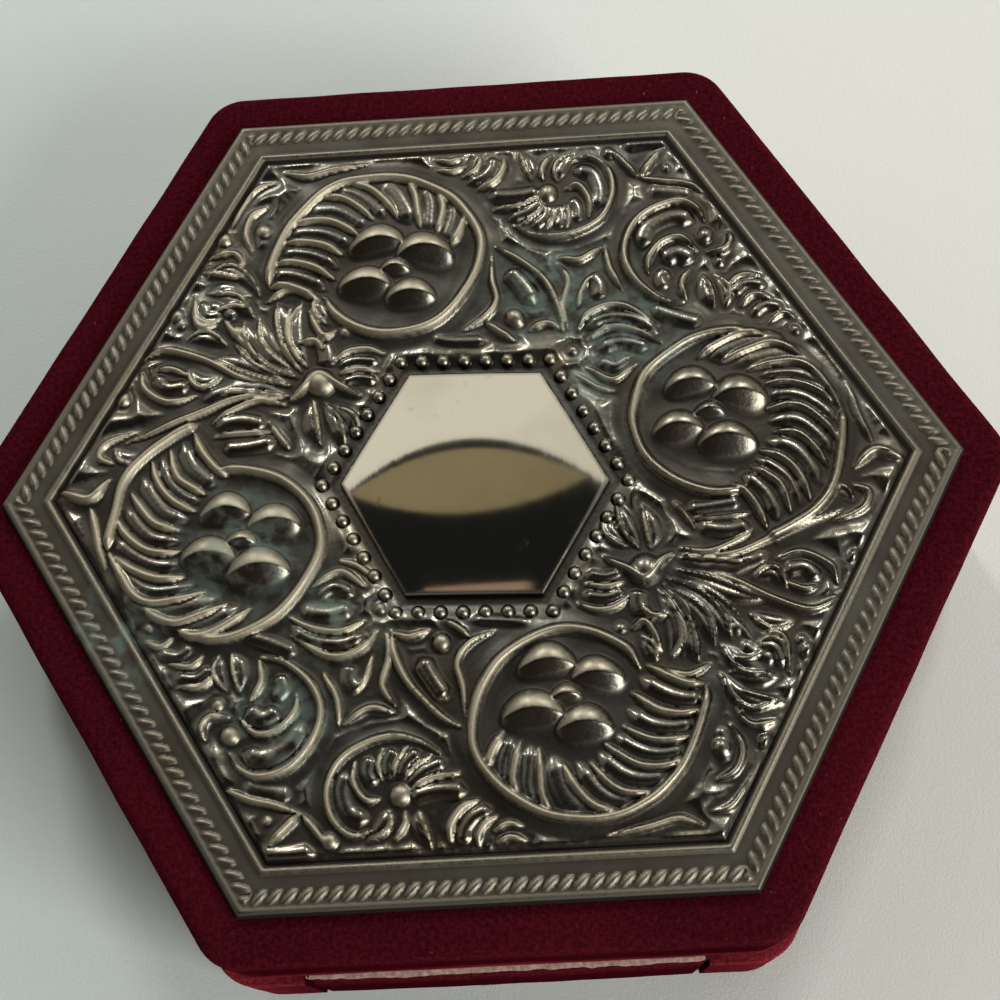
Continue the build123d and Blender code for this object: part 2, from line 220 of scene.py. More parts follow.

# %% [markdown]
# ## Cloth finishes
# Velvet is dark because its pile swallows light, so it has no gloss and only a little sheen. Slow noise
# leans the pile one way or the other, two fast noises are its tufts and its speckle, and a few flecks
# are lint. Where a mesh asks for it, the velvet is painted paler and redder, a painted sheen at the
# edges and corners where light grazes the pile. Satin is smoother, with fine threads both ways, and
# greyer in noisy patches where a mesh asks for it. Felt is a mat of fibres. Each finish keeps sheen as
# one number, because only the colour changes over the cloth.

# %% Velvet, satin and felt
VELVET_DEEP = colour(25, 2, 7)
VELVET_BRUSHED = colour(62, 11, 20)
VELVET_PAINTED_SHEEN = colour(140, 46, 58)
VELVET_LINT = colour(150, 112, 112)
VELVET_SHEEN = colour(196, 40, 62)
LINT_SHARE = 0.25
PILE_DEPTH = 0.00022


def velvet_finish():
    velvet = new_finish("red_velvet")
    leaning = velvet.grain(38, detail=3).clipped(0.3, 0.8)
    pile = velvet.grain(4200, detail=2)
    tufts = velvet.grain(1700, detail=3)
    # Painted sheen: where the mesh asks for it, the velvet is mixed towards a paler, redder colour.
    worn_and_lit = velvet.painted("wear_and_light") * (tufts.clipped(0.2, 0.8) * 0.6 + 0.32)
    nap = leaning * 0.25 + pile.clipped(0.45, 0.75) * 0.45 + tufts.clipped(0.38, 0.72) * 0.3
    brushed = velvet.mix(nap, VELVET_DEEP, VELVET_BRUSHED)
    lint = velvet.grain(1500, detail=2, stretch=(1, 0.4, 1)).clipped(0.72, 0.8)
    shade = velvet.mix(lint * LINT_SHARE, velvet.mix(worn_and_lit, brushed, VELVET_PAINTED_SHEEN), VELVET_LINT)
    heights = velvet.bump(pile * 0.6 + tufts * 0.4, PILE_DEPTH)
    velvet.surface(Base_Color=shade, Roughness=0.95 - pile * 0.15, Normal=heights)
    velvet.surface(Sheen_Weight=0.05, Sheen_Roughness=0.36, Sheen_Tint=VELVET_SHEEN)
    return velvet.surface(Specular_IOR_Level=0.0)


SATIN_PALE = colour(206, 184, 172)
SATIN_SHADE = colour(178, 150, 142)
SATIN_GREY = colour(128, 100, 98)
SATIN_SHEEN = colour(255, 240, 228)
THREADS_PER_METRE, THREAD_LENGTH, THREAD_DEPTH = 420, 14, 0.00006


def satin_finish():
    satin = new_finish("pale_satin")
    threads = satin.grain(THREADS_PER_METRE, detail=2, stretch=(1, THREAD_LENGTH, 1))
    cross = satin.grain(THREADS_PER_METRE, detail=2, stretch=(THREAD_LENGTH, 1, 1))
    slub = satin.grain(70, detail=3).clipped(0.35, 0.75)
    weave = threads * 0.5 + cross * 0.5
    clean = satin.mix(slub * 0.2 + weave * 0.5, SATIN_PALE, SATIN_SHADE)
    # Where the mesh asks for it, noisy patches of the satin are greyer.
    greying = satin.painted("greyed") * satin.grain(1500, detail=4).clipped(0.1, 0.8)
    shade = satin.mix(greying, clean, SATIN_GREY)
    heights = satin.bump(weave, THREAD_DEPTH)
    satin.surface(Base_Color=shade, Roughness=0.32 + weave * 0.2, Normal=heights)
    return satin.surface(Sheen_Weight=0.25, Sheen_Roughness=0.3, Sheen_Tint=SATIN_SHEEN)


FELT_DARK = colour(38, 12, 18)
FELT_FIBRE = colour(74, 30, 38)
FELT_DEPTH = 0.0002


def felt_finish():
    felt = new_finish("floor_felt")
    fibres = felt.grain(1500, detail=5, rough=0.7)
    clumps = felt.grain(180, detail=3)
    shade = felt.mix(fibres * 0.7 + clumps * 0.3, FELT_DARK, FELT_FIBRE)
    heights = felt.bump(fibres, FELT_DEPTH)
    felt.surface(Base_Color=shade, Roughness=0.96 - fibres * 0.06, Normal=heights)
    return felt.surface(Specular_IOR_Level=0.1, Sheen_Weight=0.15, Sheen_Roughness=0.5)


VELVET = velvet_finish()
SATIN = satin_finish()
FELT = felt_finish()
print("cloth finishes:", VELVET.name, SATIN.name, FELT.name)

# %% [markdown]
# ## Board, card and brass
# These finishes dress solids that stay as they are: the boards under the velvet, the card packing
# behind the plaque, and the hinges. Grain is noise that is stretched along the board. Brass is a metal
# with brush marks along the leaf and brown tarnish in patches.

# %% Board, card and brass
BOARD_PALE = colour(196, 164, 122)
BOARD_DARK = colour(142, 106, 70)
CARD_PALE = colour(150, 142, 128)
CARD_DARK = colour(112, 104, 92)
BRASS_BRIGHT = colour(196, 158, 88)
BRASS_BROWN = colour(118, 86, 44)
BOARD_DEPTH, CARD_DEPTH, BRUSH_DEPTH = 0.00012, 0.0001, 0.00003


def board_finish():
    board = new_finish("thin_board")
    streaks = board.grain(95, detail=5, stretch=(1, 1, 9), rough=0.62)
    pores = board.grain(1300, detail=2, stretch=(0.25, 0.25, 1))
    shade = board.mix(streaks.clipped(0.3, 0.72) * 0.75 + pores * 0.25, BOARD_PALE, BOARD_DARK)
    heights = board.bump(pores * 0.5 + streaks * 0.5, BOARD_DEPTH)
    return board.surface(Base_Color=shade, Roughness=0.62 + pores * 0.25, Normal=heights)


def card_finish():
    card = new_finish("grey_card")
    pulp = card.grain(1100, detail=4, rough=0.65)
    shade = card.mix(pulp, CARD_PALE, CARD_DARK)
    heights = card.bump(pulp, CARD_DEPTH)
    return card.surface(Base_Color=shade, Roughness=0.8 + pulp * 0.15, Normal=heights)


def brass_finish():
    brass = new_finish("hinge_brass")
    brushed = brass.grain(700, detail=3, stretch=(0.08, 1, 1))
    tarnish = brass.grain(160, detail=4).clipped(0.45, 0.75)
    shade = brass.mix(tarnish * 0.7, BRASS_BRIGHT, BRASS_BROWN)
    rough = 0.26 + brushed * 0.14 + tarnish * 0.2
    heights = brass.bump(brushed, BRUSH_DEPTH)
    return brass.surface(Base_Color=shade, Metallic=1.0, Roughness=rough, Normal=heights)


FINISH_BY_SLOT = {"board": board_finish(), "card": card_finish(), "hinge_brass": brass_finish()}
FINISH_BY_SLOT.update({"velvet": VELVET, "satin": SATIN, "felt": FELT})
SLOT_OF_NODE = {}
for material in frame["record"]["materials"]:
    for node in material.get("nodes", []):
        SLOT_OF_NODE[node] = material["slot"]
dressed = 0
for node, solid in frame["nodes"].items():
    finish = FINISH_BY_SLOT.get(SLOT_OF_NODE.get(node))
    if finish:
        solid.data.materials.clear()
        solid.data.materials.append(finish)
        dressed += 1
print("solids that took a finish:", dressed, "of", len(frame["nodes"]))

# %% [markdown]
# ## From points to pieces
# Every new piece is made the same way: points in millimetres and faces that name them become a mesh,
# edges sharper than a set angle stay sharp, the piece takes its finish and is hung on the body that
# carries it, and the solids it stands for are hidden. Holes with straight sides are cut afterwards
# by a Boolean, which is applied at once so that no cutter is left behind.

# %% Make a piece, and cut boxes out of it
SHARP_EDGE = math.radians(38)
LEAST_CUT_SHARE = 0.32


def new_mesh(name, points, faces):
    mesh = bpy.data.meshes.new(name)
    mesh.from_pydata((np.asarray(points, float) * MM).tolist(), [], faces)
    return mesh


def make_piece(name, points, faces, finish, body, nodes, sharp=SHARP_EDGE):
    mesh = new_mesh(name, points, faces)
    mesh.validate()
    mesh.materials.append(finish)
    mesh.shade_smooth()
    mesh.set_sharp_from_angle(angle=sharp)
    piece = add_object(name, mesh)
    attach(piece, body)
    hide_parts(*nodes)
    return piece


def paint(piece, name, values):
    """Keep a number for each point of a piece, for its finish to read."""
    layer = piece.data.attributes.new(name, "FLOAT", "POINT")
    layer.data.foreach_set("value", np.asarray(values, np.float32))


def declare_cloth(piece, width, length, rests_on):
    """Print the rectangle that a piece of cloth was cut from. A skin has two sides."""
    skin = sum(face.area for face in piece.data.polygons) / 2
    flat = (width * MM, max(length * MM, skin / (width * MM)))
    cut = max(skin, LEAST_CUT_SHARE * flat[0] * flat[1])
    print(piece.name, "is cut from", round(width), "by", round(flat[1] / MM), "mm")


def box_faces(first):
    quads = [(0, 3, 2, 1), (4, 5, 6, 7), (0, 1, 5, 4), (1, 2, 6, 5), (2, 3, 7, 6), (3, 0, 4, 7)]
    return [tuple(first + corner for corner in quad) for quad in quads]


def box_points(low, high):
    floor = [(low[0], low[1]), (high[0], low[1]), (high[0], high[1]), (low[0], high[1])]
    return [(x, y, z) for z in (low[2], high[2]) for x, y in floor]


def cut_boxes(piece, boxes):
    """Take boxes, each a low and a high corner, out of a closed piece."""
    points = []
    faces = []
    for low, high in boxes:
        faces += box_faces(len(points))
        points += box_points(low, high)
    cutter = add_object("cutter", new_mesh("cutter", points, faces))
    hole = piece.modifiers.new("hole", "BOOLEAN")
    hole.operation = "DIFFERENCE"
    hole.solver = "EXACT"
    hole.object = cutter
    bpy.context.view_layer.update()
    whole = piece.data
    cut = piece.evaluated_get(bpy.context.evaluated_depsgraph_get())
    piece.data = bpy.data.meshes.new_from_object(cut)
    piece.data.set_sharp_from_angle(angle=SHARP_EDGE)
    piece.modifiers.clear()
    bpy.data.objects.remove(cutter)
    bpy.data.meshes.remove(whole)


print("piece helpers are ready")

# %% [markdown]
# ## Rings round a hexagon
# Lid, base, linings and pads all follow the same rounded hexagon, only larger or smaller. So one
# function gives the points of such a ring, with the same number of points whatever its size, and
# another joins a list of rings into a skin. A closed list of rings makes a hollow shell with no
# open edge, which is how a real cover has two sides.

# %% Rounded hexagons and lofts
SIDES = 6
HALF_TURN = math.pi
SLANT = 2 / math.sqrt(3)
SIDE_STEPS = 44
CORNER_STEPS = 10
ROUND_STEPS = SIDES * (SIDE_STEPS + CORNER_STEPS)
SEED_STEP = (17.3, 5.1, 9.7)


def heading(angle):
    """The direction of an angle, as a step of length 1."""
    return np.array([math.cos(angle), math.sin(angle)])


def hexagon_ring(apothem, corner):
    """Points of a rounded hexagon, flat to front and back, anticlockwise from the right corner."""
    points = []
    reach = (apothem - corner) * SLANT
    for number in range(SIDES):
        middle = number * HALF_TURN / 3
        centre = heading(middle) * reach
        for step in range(CORNER_STEPS + 1):
            angle = middle + (step / CORNER_STEPS - 0.5) * HALF_TURN / 3
            points.append(centre + corner * heading(angle))
        ahead = heading((number + 1) * HALF_TURN / 3) * reach
        outward = corner * heading(middle + HALF_TURN / 6)
        for step in range(1, SIDE_STEPS):
            share = step / SIDE_STEPS
            points.append(centre * (1 - share) + ahead * share + outward)
    return np.array(points)


def loft(profile, closed=True, capped=False):
    """Points and faces of a skin through one ring for each (apothem, corner, z) of the profile."""
    rings = []
    for apothem, corner, z in profile:
        ring = hexagon_ring(apothem, corner)
        rings.append(np.column_stack([ring, np.full(len(ring), z)]))
    faces = []
    last = len(profile) if closed else len(profile) - 1
    for level in range(last):
        low = level * ROUND_STEPS
        high = (level + 1) % len(profile) * ROUND_STEPS
        for step in range(ROUND_STEPS):
            after = (step + 1) % ROUND_STEPS
            faces.append((low + step, low + after, high + after, high + step))
    if capped:
        faces.append(tuple(reversed(range(ROUND_STEPS))))
        top = (len(profile) - 1) * ROUND_STEPS
        faces.append(tuple(range(top, top + ROUND_STEPS)))
    return np.vstack(rings), faces


def corner_of(node):
    """The corner radius that a rounded hexagon must have to be as wide and as deep as a node."""
    high = corners_of(node)[1]
    return (high.y * SLANT - high.x) / (SLANT - 1)


def unevenness(points, size, height, seed):
    """A small push for each point from smooth noise, with bumps of one size."""
    shift = Vector([seed * step for step in SEED_STEP])
    return np.array([perlin.noise(Vector(p).to_3d() / size + shift) for p in points]) * height


def ramp(values, start, end):
    """0 at start and before it, 1 at end and beyond."""
    return np.clip((values - start) / (end - start), 0, 1)


def from_middle(points):
    """How far each point lies from the box's upright middle line."""
    return np.linalg.norm(points[:, :2], axis=1)


def push_out(points, push):
    """Move points straight out from that line."""
    points[:, :2] += points[:, :2] / from_middle(points)[:, None] * push[:, None]


print("points in a ring:", ROUND_STEPS)

# %% [markdown]
# ## The velvet of the lid
# On the bench this is one piece of velvet, laid over the lid, pulled down its six sides and turned in
# under the rim. It is modelled as a closed shell: up the outside, over the rounded edge, in under the
# plaque and back down against the boards. Its corners are pulled tighter than those of the solids.
# Glued cloth is never dead flat, so slow noise moves the outer points a tenth of a millimetre, and each
# point keeps how much painted sheen its place gets, most of all along the lower edge.

# %% Cover the lid
lid_low, lid_high = corners_of("lid_velvet")
board_high = corners_of("lid_top_board")[1]
lining_high = corners_of("lid_lining")[1]
plaque_low, plaque_high = corners_of("plaque")
CORNER_SHARE = 0.62
LID_CORNER = corner_of("lid_velvet") * CORNER_SHARE
LID_EDGE = 2.0
RIM_CLOTH = 0.12
UNDER_PLAQUE = 2.5
CLIMB_STEPS, EDGE_STEPS = 8, 6
LEAST_CORNER = 0.5
WAVE_SIZE, WAVE_HEIGHT = 9.0, 0.12
CORNER_FROM, CORNER_BAND, CORNER_SHEEN = 1.12, 3.0, 0.3
EDGE_BAND, EDGE_SHEEN = 2.0, 0.2
SEAM_BAND, SEAM_SHEEN = 6.0, 0.8


def round_edge(apothem, corner, top, radius):
    """Rings over a rounded edge, from the side up to the top."""
    rings = []
    for step in range(EDGE_STEPS + 1):
        turn = step / EDGE_STEPS * HALF_TURN / 2
        inset = radius * (1 - math.cos(turn))
        z = top - radius * (1 - math.sin(turn))
        rings.append((apothem - inset, max(corner - inset, LEAST_CORNER), z))
    return rings


def climb(apothem, corner, low, high, steps):
    """Rings straight up a side."""
    return [(apothem, corner, low + (high - low) * step / steps) for step in range(steps + 1)]


def velvet_shell(body, low, top, apothem, corner, edge, inside, seed):
    """A cover that climbs from low to a rounded edge at the top and comes back by the inside rings."""
    outside = climb(apothem, corner, low, top - edge, CLIMB_STEPS)[:-1]
    outside += round_edge(apothem, corner, top, edge)
    points, faces = loft(outside + inside)
    skin = points[:len(outside) * ROUND_STEPS]
    push_out(skin, unevenness(skin, WAVE_SIZE, WAVE_HEIGHT, seed) - WAVE_HEIGHT / 2)
    piece = make_piece(body + "_cover", points, faces, VELVET, body, [body + "_velvet"])
    return piece, points


def cover_lid():
    hem = lid_low.z - RIM_CLOTH
    inner_corner = LID_CORNER - (lid_high.y - board_high.y)
    hidden = plaque_high.y - UNDER_PLAQUE
    inside = [
        (plaque_high.y, LID_CORNER / 2, lid_high.z),
        (hidden, LID_CORNER / 3, lid_high.z),
        (hidden, LID_CORNER / 3, board_high.z),
        (board_high.y, inner_corner, board_high.z),
        (board_high.y, inner_corner, lid_low.z),
        (lining_high.y, LID_CORNER / 3, lid_low.z),
        (lining_high.y, LID_CORNER / 3, hem),
        (lid_high.y - RIM_CLOTH * 2, LID_CORNER, hem),
    ]
    start = lid_low.z + RIM_CLOTH
    piece, points = velvet_shell("lid", start, lid_high.z, lid_high.y, LID_CORNER, LID_EDGE, inside, 1)
    # Painted sheen: the velvet is painted paler at the corners, along the top edge and most along the
    # lower edge.
    corner_start = lid_high.y * CORNER_FROM
    corner = ramp(from_middle(points), corner_start, corner_start + CORNER_BAND)
    edge = ramp(abs(points[:, 2] - lid_high.z + LID_EDGE / 2), EDGE_BAND, 0)
    seam = ramp(points[:, 2], lid_low.z + SEAM_BAND, lid_low.z)
    painted_sheen = corner * CORNER_SHEEN + edge * EDGE_SHEEN + seam * SEAM_SHEEN
    paint(piece, "wear_and_light", np.clip(painted_sheen, 0, 1))
    return piece


lid_cover = cover_lid()
leaf_low, leaf_high = corners_of("hinge_lid_leaf_right")
NOTCH_ROOM = 0.15
HINGE_SIGNS = (-1, 1)


def hinge_notches(low, high):
    """A box round the place of each hinge leaf, between two heights."""
    boxes = []
    for sign in HINGE_SIGNS:
        ends = sorted((sign * (leaf_low.x - NOTCH_ROOM), sign * (leaf_high.x + NOTCH_ROOM)))
        boxes.append(((ends[0], leaf_low.y - NOTCH_ROOM, low), (ends[1], leaf_high.y, high)))
    return boxes


LEAF_ROOM = 1.6
cut_boxes(lid_cover, hinge_notches(lid_low.z - LEAF_ROOM, lid_low.z + LEAF_ROOM))
lid_side = lid_high.z - lid_low.z + lid_high.y - lining_high.y
lid_flat = (2 * (lid_high.x + lid_side), 2 * (lid_high.y + lid_side))
declare_cloth(lid_cover, *lid_flat, ["lid_top_board", "lid_wall_back"])

# %% [markdown]
# ## The velvet of the base
# The base wears its own piece of velvet. It stands a little further out than the lid, which is the
# ledge that shows round the seam. Its lower edge is turned in under the floor, its upper edge over the
# rim, and the front is cut out where the drawer front fills the middle of the side.

# %% Cover the base
base_low, base_high = corners_of("base_velvet")
base_wall_high = corners_of("base_wall_back")[1]
felt_low, felt_high = corners_of("base_felt")
floor_low = corners_of("base_floor")[0]
drawer_low, drawer_high = corners_of("drawer_front_velvet")
trim_low, trim_high = corners_of("drawer_front_trim")
tray_high = corners_of("tray_lining")[1]
BASE_CORNER = corner_of("base_velvet") * CORNER_SHARE
BASE_EDGE = 0.45
RIM_FOLDS = 1.7
BASE_RIM = base_wall_high.z + RIM_CLOTH * RIM_FOLDS
BASE_SHEEN, BASE_CORNER_FROM, BASE_CORNER_SHEEN = 0.3, 1.1, 0.5
RIM_BAND, RIM_SHEEN = 3.0, 0.4
DRAWER_ROOM = 0.4
NOTCH_DEPTH = 0.25
CUT_PAST, CUT_UNDER = 2.0, 1.0


def round_walls(apothem):
    """The length of a strip that goes once round the box."""
    return 2 * SIDES * apothem / math.sqrt(3)


def cover_base():
    inner_corner = BASE_CORNER - (base_high.y - base_wall_high.y)
    inside = [
        (tray_high.y + NOTCH_ROOM, BASE_CORNER / 3, BASE_RIM),
        (tray_high.y + NOTCH_ROOM, BASE_CORNER / 3, base_wall_high.z),
        (base_wall_high.y, inner_corner, base_wall_high.z),
        (base_wall_high.y, inner_corner, floor_low.z),
        (felt_high.y + NOTCH_ROOM, BASE_CORNER / 3, floor_low.z),
        (felt_high.y + NOTCH_ROOM, BASE_CORNER / 3, base_low.z),
        (base_high.y - BASE_EDGE, BASE_CORNER - BASE_EDGE, base_low.z),
    ]
    start = base_low.z + BASE_EDGE
    piece, points = velvet_shell("base", start, BASE_RIM, base_high.y, BASE_CORNER, BASE_EDGE, inside, 2)
    # Painted sheen: the base's velvet is painted a little paler all over, more at the corners and along
    # the rim.
    corner_start = base_high.y * BASE_CORNER_FROM
    corner = ramp(from_middle(points), corner_start, corner_start + CORNER_BAND)
    edge = ramp(points[:, 2], BASE_RIM - RIM_BAND, BASE_RIM)
    painted_sheen = BASE_SHEEN + corner * BASE_CORNER_SHEEN + edge * RIM_SHEEN
    paint(piece, "wear_and_light", np.clip(painted_sheen, 0, 1))
    return piece


base_cover = cover_base()
front_hole = (
    (drawer_low.x - DRAWER_ROOM, base_low.y - CUT_PAST, base_low.z - CUT_UNDER),
    (drawer_high.x + DRAWER_ROOM, trim_high.y + NOTCH_DEPTH, base_high.z + CUT_PAST),
)
base_notches = hinge_notches(base_high.z - LEAF_ROOM, base_high.z + LEAF_ROOM)
cut_boxes(base_cover, [front_hole] + base_notches)
base_strip = base_high.z - base_low.z + 2 * (base_high.y - felt_high.y)
declare_cloth(base_cover, round_walls(base_high.y), base_strip, ["base_wall_back", "base_floor"])

# %% [markdown]
# ## The drawer front
# The drawer front is a board in its own velvet. The velvet bows out a little in the middle and is
# folded round the ends, so its outline is softer than the board's. On its top edge the lining's satin
# is folded over and shows as a pale strip with a wavy edge, widest in the middle.

# %% Velvet and satin on the drawer front
FRONT_COLUMNS, FRONT_ROWS = 72, 14
FRONT_ROUND, FRONT_ROUND_DEPTH = 0.8, 0.72
FRONT_WAVE_SIZE, FRONT_WAVE_HEIGHT = 5.0, 0.06
FRONT_OVERLAP = 0.02
NEARLY_SQUARE = 0.99
TOP_BAND, TOP_SLOPE, TOP_SHEEN = 2.0, 6.0, 0.3


def between(low, high, share):
    return low + (high - low) * share


def slab(columns, rows, spots):
    """A closed slab. At a share of its columns and rows, spots gives a point in front and one behind."""
    pairs = [spots(c / (columns - 1), r / (rows - 1)) for c in range(columns) for r in range(rows)]
    points = np.array([front for front, back in pairs] + [back for front, back in pairs])
    count = columns * rows
    faces = []
    for column in range(columns - 1):
        for row in range(rows - 1):
            first = column * rows + row
            quad = (first, first + rows, first + rows + 1, first + 1)
            faces.append(quad)
            faces.append(tuple(count + corner for corner in reversed(quad)))
    rim = list(range(rows))
    rim += [column * rows + rows - 1 for column in range(1, columns)]
    rim += [(columns - 1) * rows + row for row in reversed(range(rows - 1))]
    rim += [column * rows for column in reversed(range(1, columns - 1))]
    for here, there in zip(rim, rim[1:] + rim[:1]):
        faces.append((here, there, count + there, count + here))
    return points, faces


def front_spots(share, up):
    """The velvet bows out in the middle, and its edges fall back in a quarter round."""
    depth = abs(drawer_low.y - base_low.y)
    bow = depth * (1 - (2 * share - 1) ** 2)
    x = between(drawer_low.x, drawer_high.x, share)
    z = between(drawer_low.z, drawer_high.z, up)
    side = min(x - drawer_low.x, drawer_high.x - x, z - drawer_low.z, drawer_high.z - z)
    fall = max(0.0, 1 - side / FRONT_ROUND)
    rounding = FRONT_ROUND_DEPTH * (1 - math.sqrt(1 - fall * fall * NEARLY_SQUARE))
    return (x, drawer_low.y + depth - bow + rounding, z), (x, drawer_high.y - bow - FRONT_OVERLAP, z)


def drawer_front_cover():
    points, faces = slab(FRONT_COLUMNS, FRONT_ROWS, front_spots)
    skin = points[:len(points) // 2]
    skin[:, 1] += unevenness(skin, FRONT_WAVE_SIZE, FRONT_WAVE_HEIGHT, 3) + FRONT_WAVE_HEIGHT / 2
    name = "drawer_front_cover"
    piece = make_piece(name, points, faces, VELVET, "drawer", ["drawer_front_velvet"])
    # Painted sheen: the top band of the drawer front is painted a little paler.
    paint(piece, "wear_and_light", np.clip((points[:, 2] - drawer_high.z + TOP_BAND) / TOP_SLOPE, 0, TOP_SHEEN))
    return piece


TRIM_COLUMNS, TRIM_ROWS = 150, 7
TRIM_TAPER = 0.14
TRIM_REACH = (0.76, 0.83)
TRIM_WAVE = 0.4
SLOW_WAVE, FAST_WAVE = 3.1, 1.1
SLOW_SHARE, FAST_SHARE, WAVE_SINK = 0.5, 0.3, 0.2
SLOW_ROW, FAST_ROW, CREASE_ROW = 4.2, 9.1, 3.3
TRIM_CREASE, CREASE_SIZE = 0.05, (0.9, 2.5)
CROWN_SLOPE = 3
THINNEST = 0.04


def trim_spots(share, deep):
    """The strip's front edge wanders, and its top is rounded at the front and creased."""
    middle = (trim_low.z + trim_high.z) / 2
    half = (trim_high.z - trim_low.z) / 2
    x = between(trim_low.x, trim_high.x, share)
    taper = min(1.0, math.sqrt(min(share, 1 - share) / TRIM_TAPER))
    slow = perlin.noise(Vector((x / SLOW_WAVE, SLOW_ROW, 0)))
    fast = perlin.noise(Vector((x / FAST_WAVE, FAST_ROW, 0)))
    reach = (trim_high.y - trim_low.y) * between(*TRIM_REACH, taper)
    reach += TRIM_WAVE * (SLOW_SHARE * slow + FAST_SHARE * fast - WAVE_SINK)
    y = trim_high.y - reach * (1 - deep)
    crown = half * math.sqrt(max(THINNEST, 1 - max(0.0, 1 - CROWN_SLOPE * deep) ** 2))
    crease = perlin.noise(Vector((x / CREASE_SIZE[0], y / CREASE_SIZE[1], CREASE_ROW)))
    top = middle + crown + TRIM_CREASE * (crease - 1)
    return (x, y, min(max(top, trim_low.z), trim_high.z)), (x, y, trim_low.z)


def turned_over(faces):
    return [tuple(reversed(face)) for face in faces]


def drawer_front_strip():
    points, faces = slab(TRIM_COLUMNS, TRIM_ROWS, trim_spots)
    name = "drawer_front_strip"
    piece = make_piece(name, points, turned_over(faces), SATIN, "drawer", ["drawer_front_trim"])
    # The pale strip is greyer in noisy patches.
    paint(piece, "greyed", np.ones(len(points)))
    return piece


front_cover = drawer_front_cover()
front_strip = drawer_front_strip()
FRONT_TURN_IN = 3.3
front_width = drawer_high.x - drawer_low.x
strip_length = trim_high.y - trim_low.y + 2 * FRONT_TURN_IN
declare_cloth(front_cover, front_width, drawer_high.z - drawer_low.z, ["drawer_front"])
declare_cloth(front_strip, front_width, strip_length, ["drawer_front"])

# %% [markdown]
# ## Pads, linings and felt
# Inside are things the photograph doesn't show: padded satin in the tray, the lid and the drawer, a
# satin strip round the walls of the tray and the lid, and felt under the floor. A pad is a crowned
# form that is flat below and pulled in at its edge. A lining is a strip with soft wrinkles. They are
# simple to make as rings, each a little higher towards the middle.

# %% Make the soft pieces inside
PAD_RINGS = 26
PAD_CORNER = 4.0
PAD_RISE = 0.16
PAD_SIDE, PAD_CROWN = 0.72, 0.28
PAD_START = 0.02
PAD_MIDDLE = 0.985
DIMPLE_SIZE, DIMPLE_SHARE, DIMPLE_SLOPE = 16.0, 0.14, 4
PAD_LEAST_CORNER = 0.3


def pad_height(share, full):
    """The height of a pad at a share of the way in from its edge: a quick rise and a slow crown."""
    edge = 1 - (1 - min(share / PAD_RISE, 1.0)) ** 2
    crown = math.sin(min(share, 1.0) * HALF_TURN / 2)
    return full * (PAD_SIDE * math.sqrt(edge) + PAD_CROWN * crown)


def hexagon_pad(name, node, body, flipped, seed):
    low, high = corners_of(node)
    thick = high.z - low.z
    profile = [(high.y, PAD_CORNER, 0.0)]
    for ring in range(PAD_RINGS):
        share = ring / PAD_RINGS
        corner = max(PAD_CORNER * (1 - share), PAD_LEAST_CORNER)
        profile.append((high.y * (1 - share * PAD_MIDDLE), corner, pad_height(share + PAD_START, thick)))
    points, faces = loft(profile, closed=False, capped=True)
    inward = 1 - from_middle(points) / high.x
    inner = np.clip(inward * DIMPLE_SLOPE, 0, 1)
    dimple = unevenness(points, DIMPLE_SIZE, thick * DIMPLE_SHARE, seed) * inner
    points[:, 2] = np.clip(points[:, 2] + dimple * (points[:, 2] > 0), 0, thick)
    if flipped:
        points[:, 2] = high.z - points[:, 2]
        faces = turned_over(faces)
    else:
        points[:, 2] += low.z
    piece = make_piece(name, points, faces, SATIN, body, [node])


LINING_THICK = 0.55
LINING_ROWS = 12
LINING_TURN_IN = 2.5
WRINKLE_SIZE, WRINKLE_HEIGHT = 4.0, 0.14
WRINKLE_STRETCH = np.array([1.0, 1.0, 0.35])


def wall_lining(name, node, body, wall, seed):
    low, high = corners_of(node)
    outer = climb(high.y, PAD_CORNER, low.z, high.z, LINING_ROWS)
    inner = [(apothem - LINING_THICK, corner, z) for apothem, corner, z in reversed(outer)]
    points, faces = loft(outer + inner)
    skin = points[len(outer) * ROUND_STEPS:]
    push_out(skin, unevenness(skin * WRINKLE_STRETCH, WRINKLE_SIZE, WRINKLE_HEIGHT, seed))
    piece = make_piece(name, points, faces, SATIN, body, [node])
    declare_cloth(piece, round_walls(high.y), high.z - low.z + 2 * LINING_TURN_IN, [wall])


hexagon_pad("tray_cushion", "tray_pad", "base", False, 4)
hexagon_pad("lid_cushion", "lid_pad", "lid", True, 5)
wall_lining("tray_band", "tray_lining", "base", "base_wall_back", 6)
wall_lining("lid_band", "lid_lining", "lid", "lid_wall_back", 7)
print("pads and linings are in")

# %% [markdown]
# ## The drawer's pad and the felt
# The drawer's pad is long and narrow, so it is a grid instead of rings, with the same crown. The felt
# is a plain sheet with a slightly frayed edge, just inside the velvet that is turned in under the box.

# %% Pad the drawer and lay the felt
pad_low, pad_high = corners_of("drawer_pad")
PAD_COLUMNS, PAD_ROWS = 40, 76
PAD_MARGIN, MARGIN_SHARE = 7.0, 0.3
LEAST_PAD = 0.05
TUFT_SIZE, TUFT_SHARE, TUFT_ROW = 9.0, 0.1, 2.7


def pad_spots(across, along):
    thick = pad_high.z - pad_low.z
    x = between(pad_low.x, pad_high.x, across)
    y = between(pad_low.y, pad_high.y, along)
    edge = min(x - pad_low.x, pad_high.x - x, y - pad_low.y, pad_high.y - y)
    height = pad_height(min(edge / PAD_MARGIN * MARGIN_SHARE + PAD_START, 1.0), thick)
    dimple = TUFT_SHARE * thick * perlin.noise(Vector((x / TUFT_SIZE, y / TUFT_SIZE, TUFT_ROW)))
    return (x, y, pad_low.z + min(max(height + dimple, LEAST_PAD), thick)), (x, y, pad_low.z)


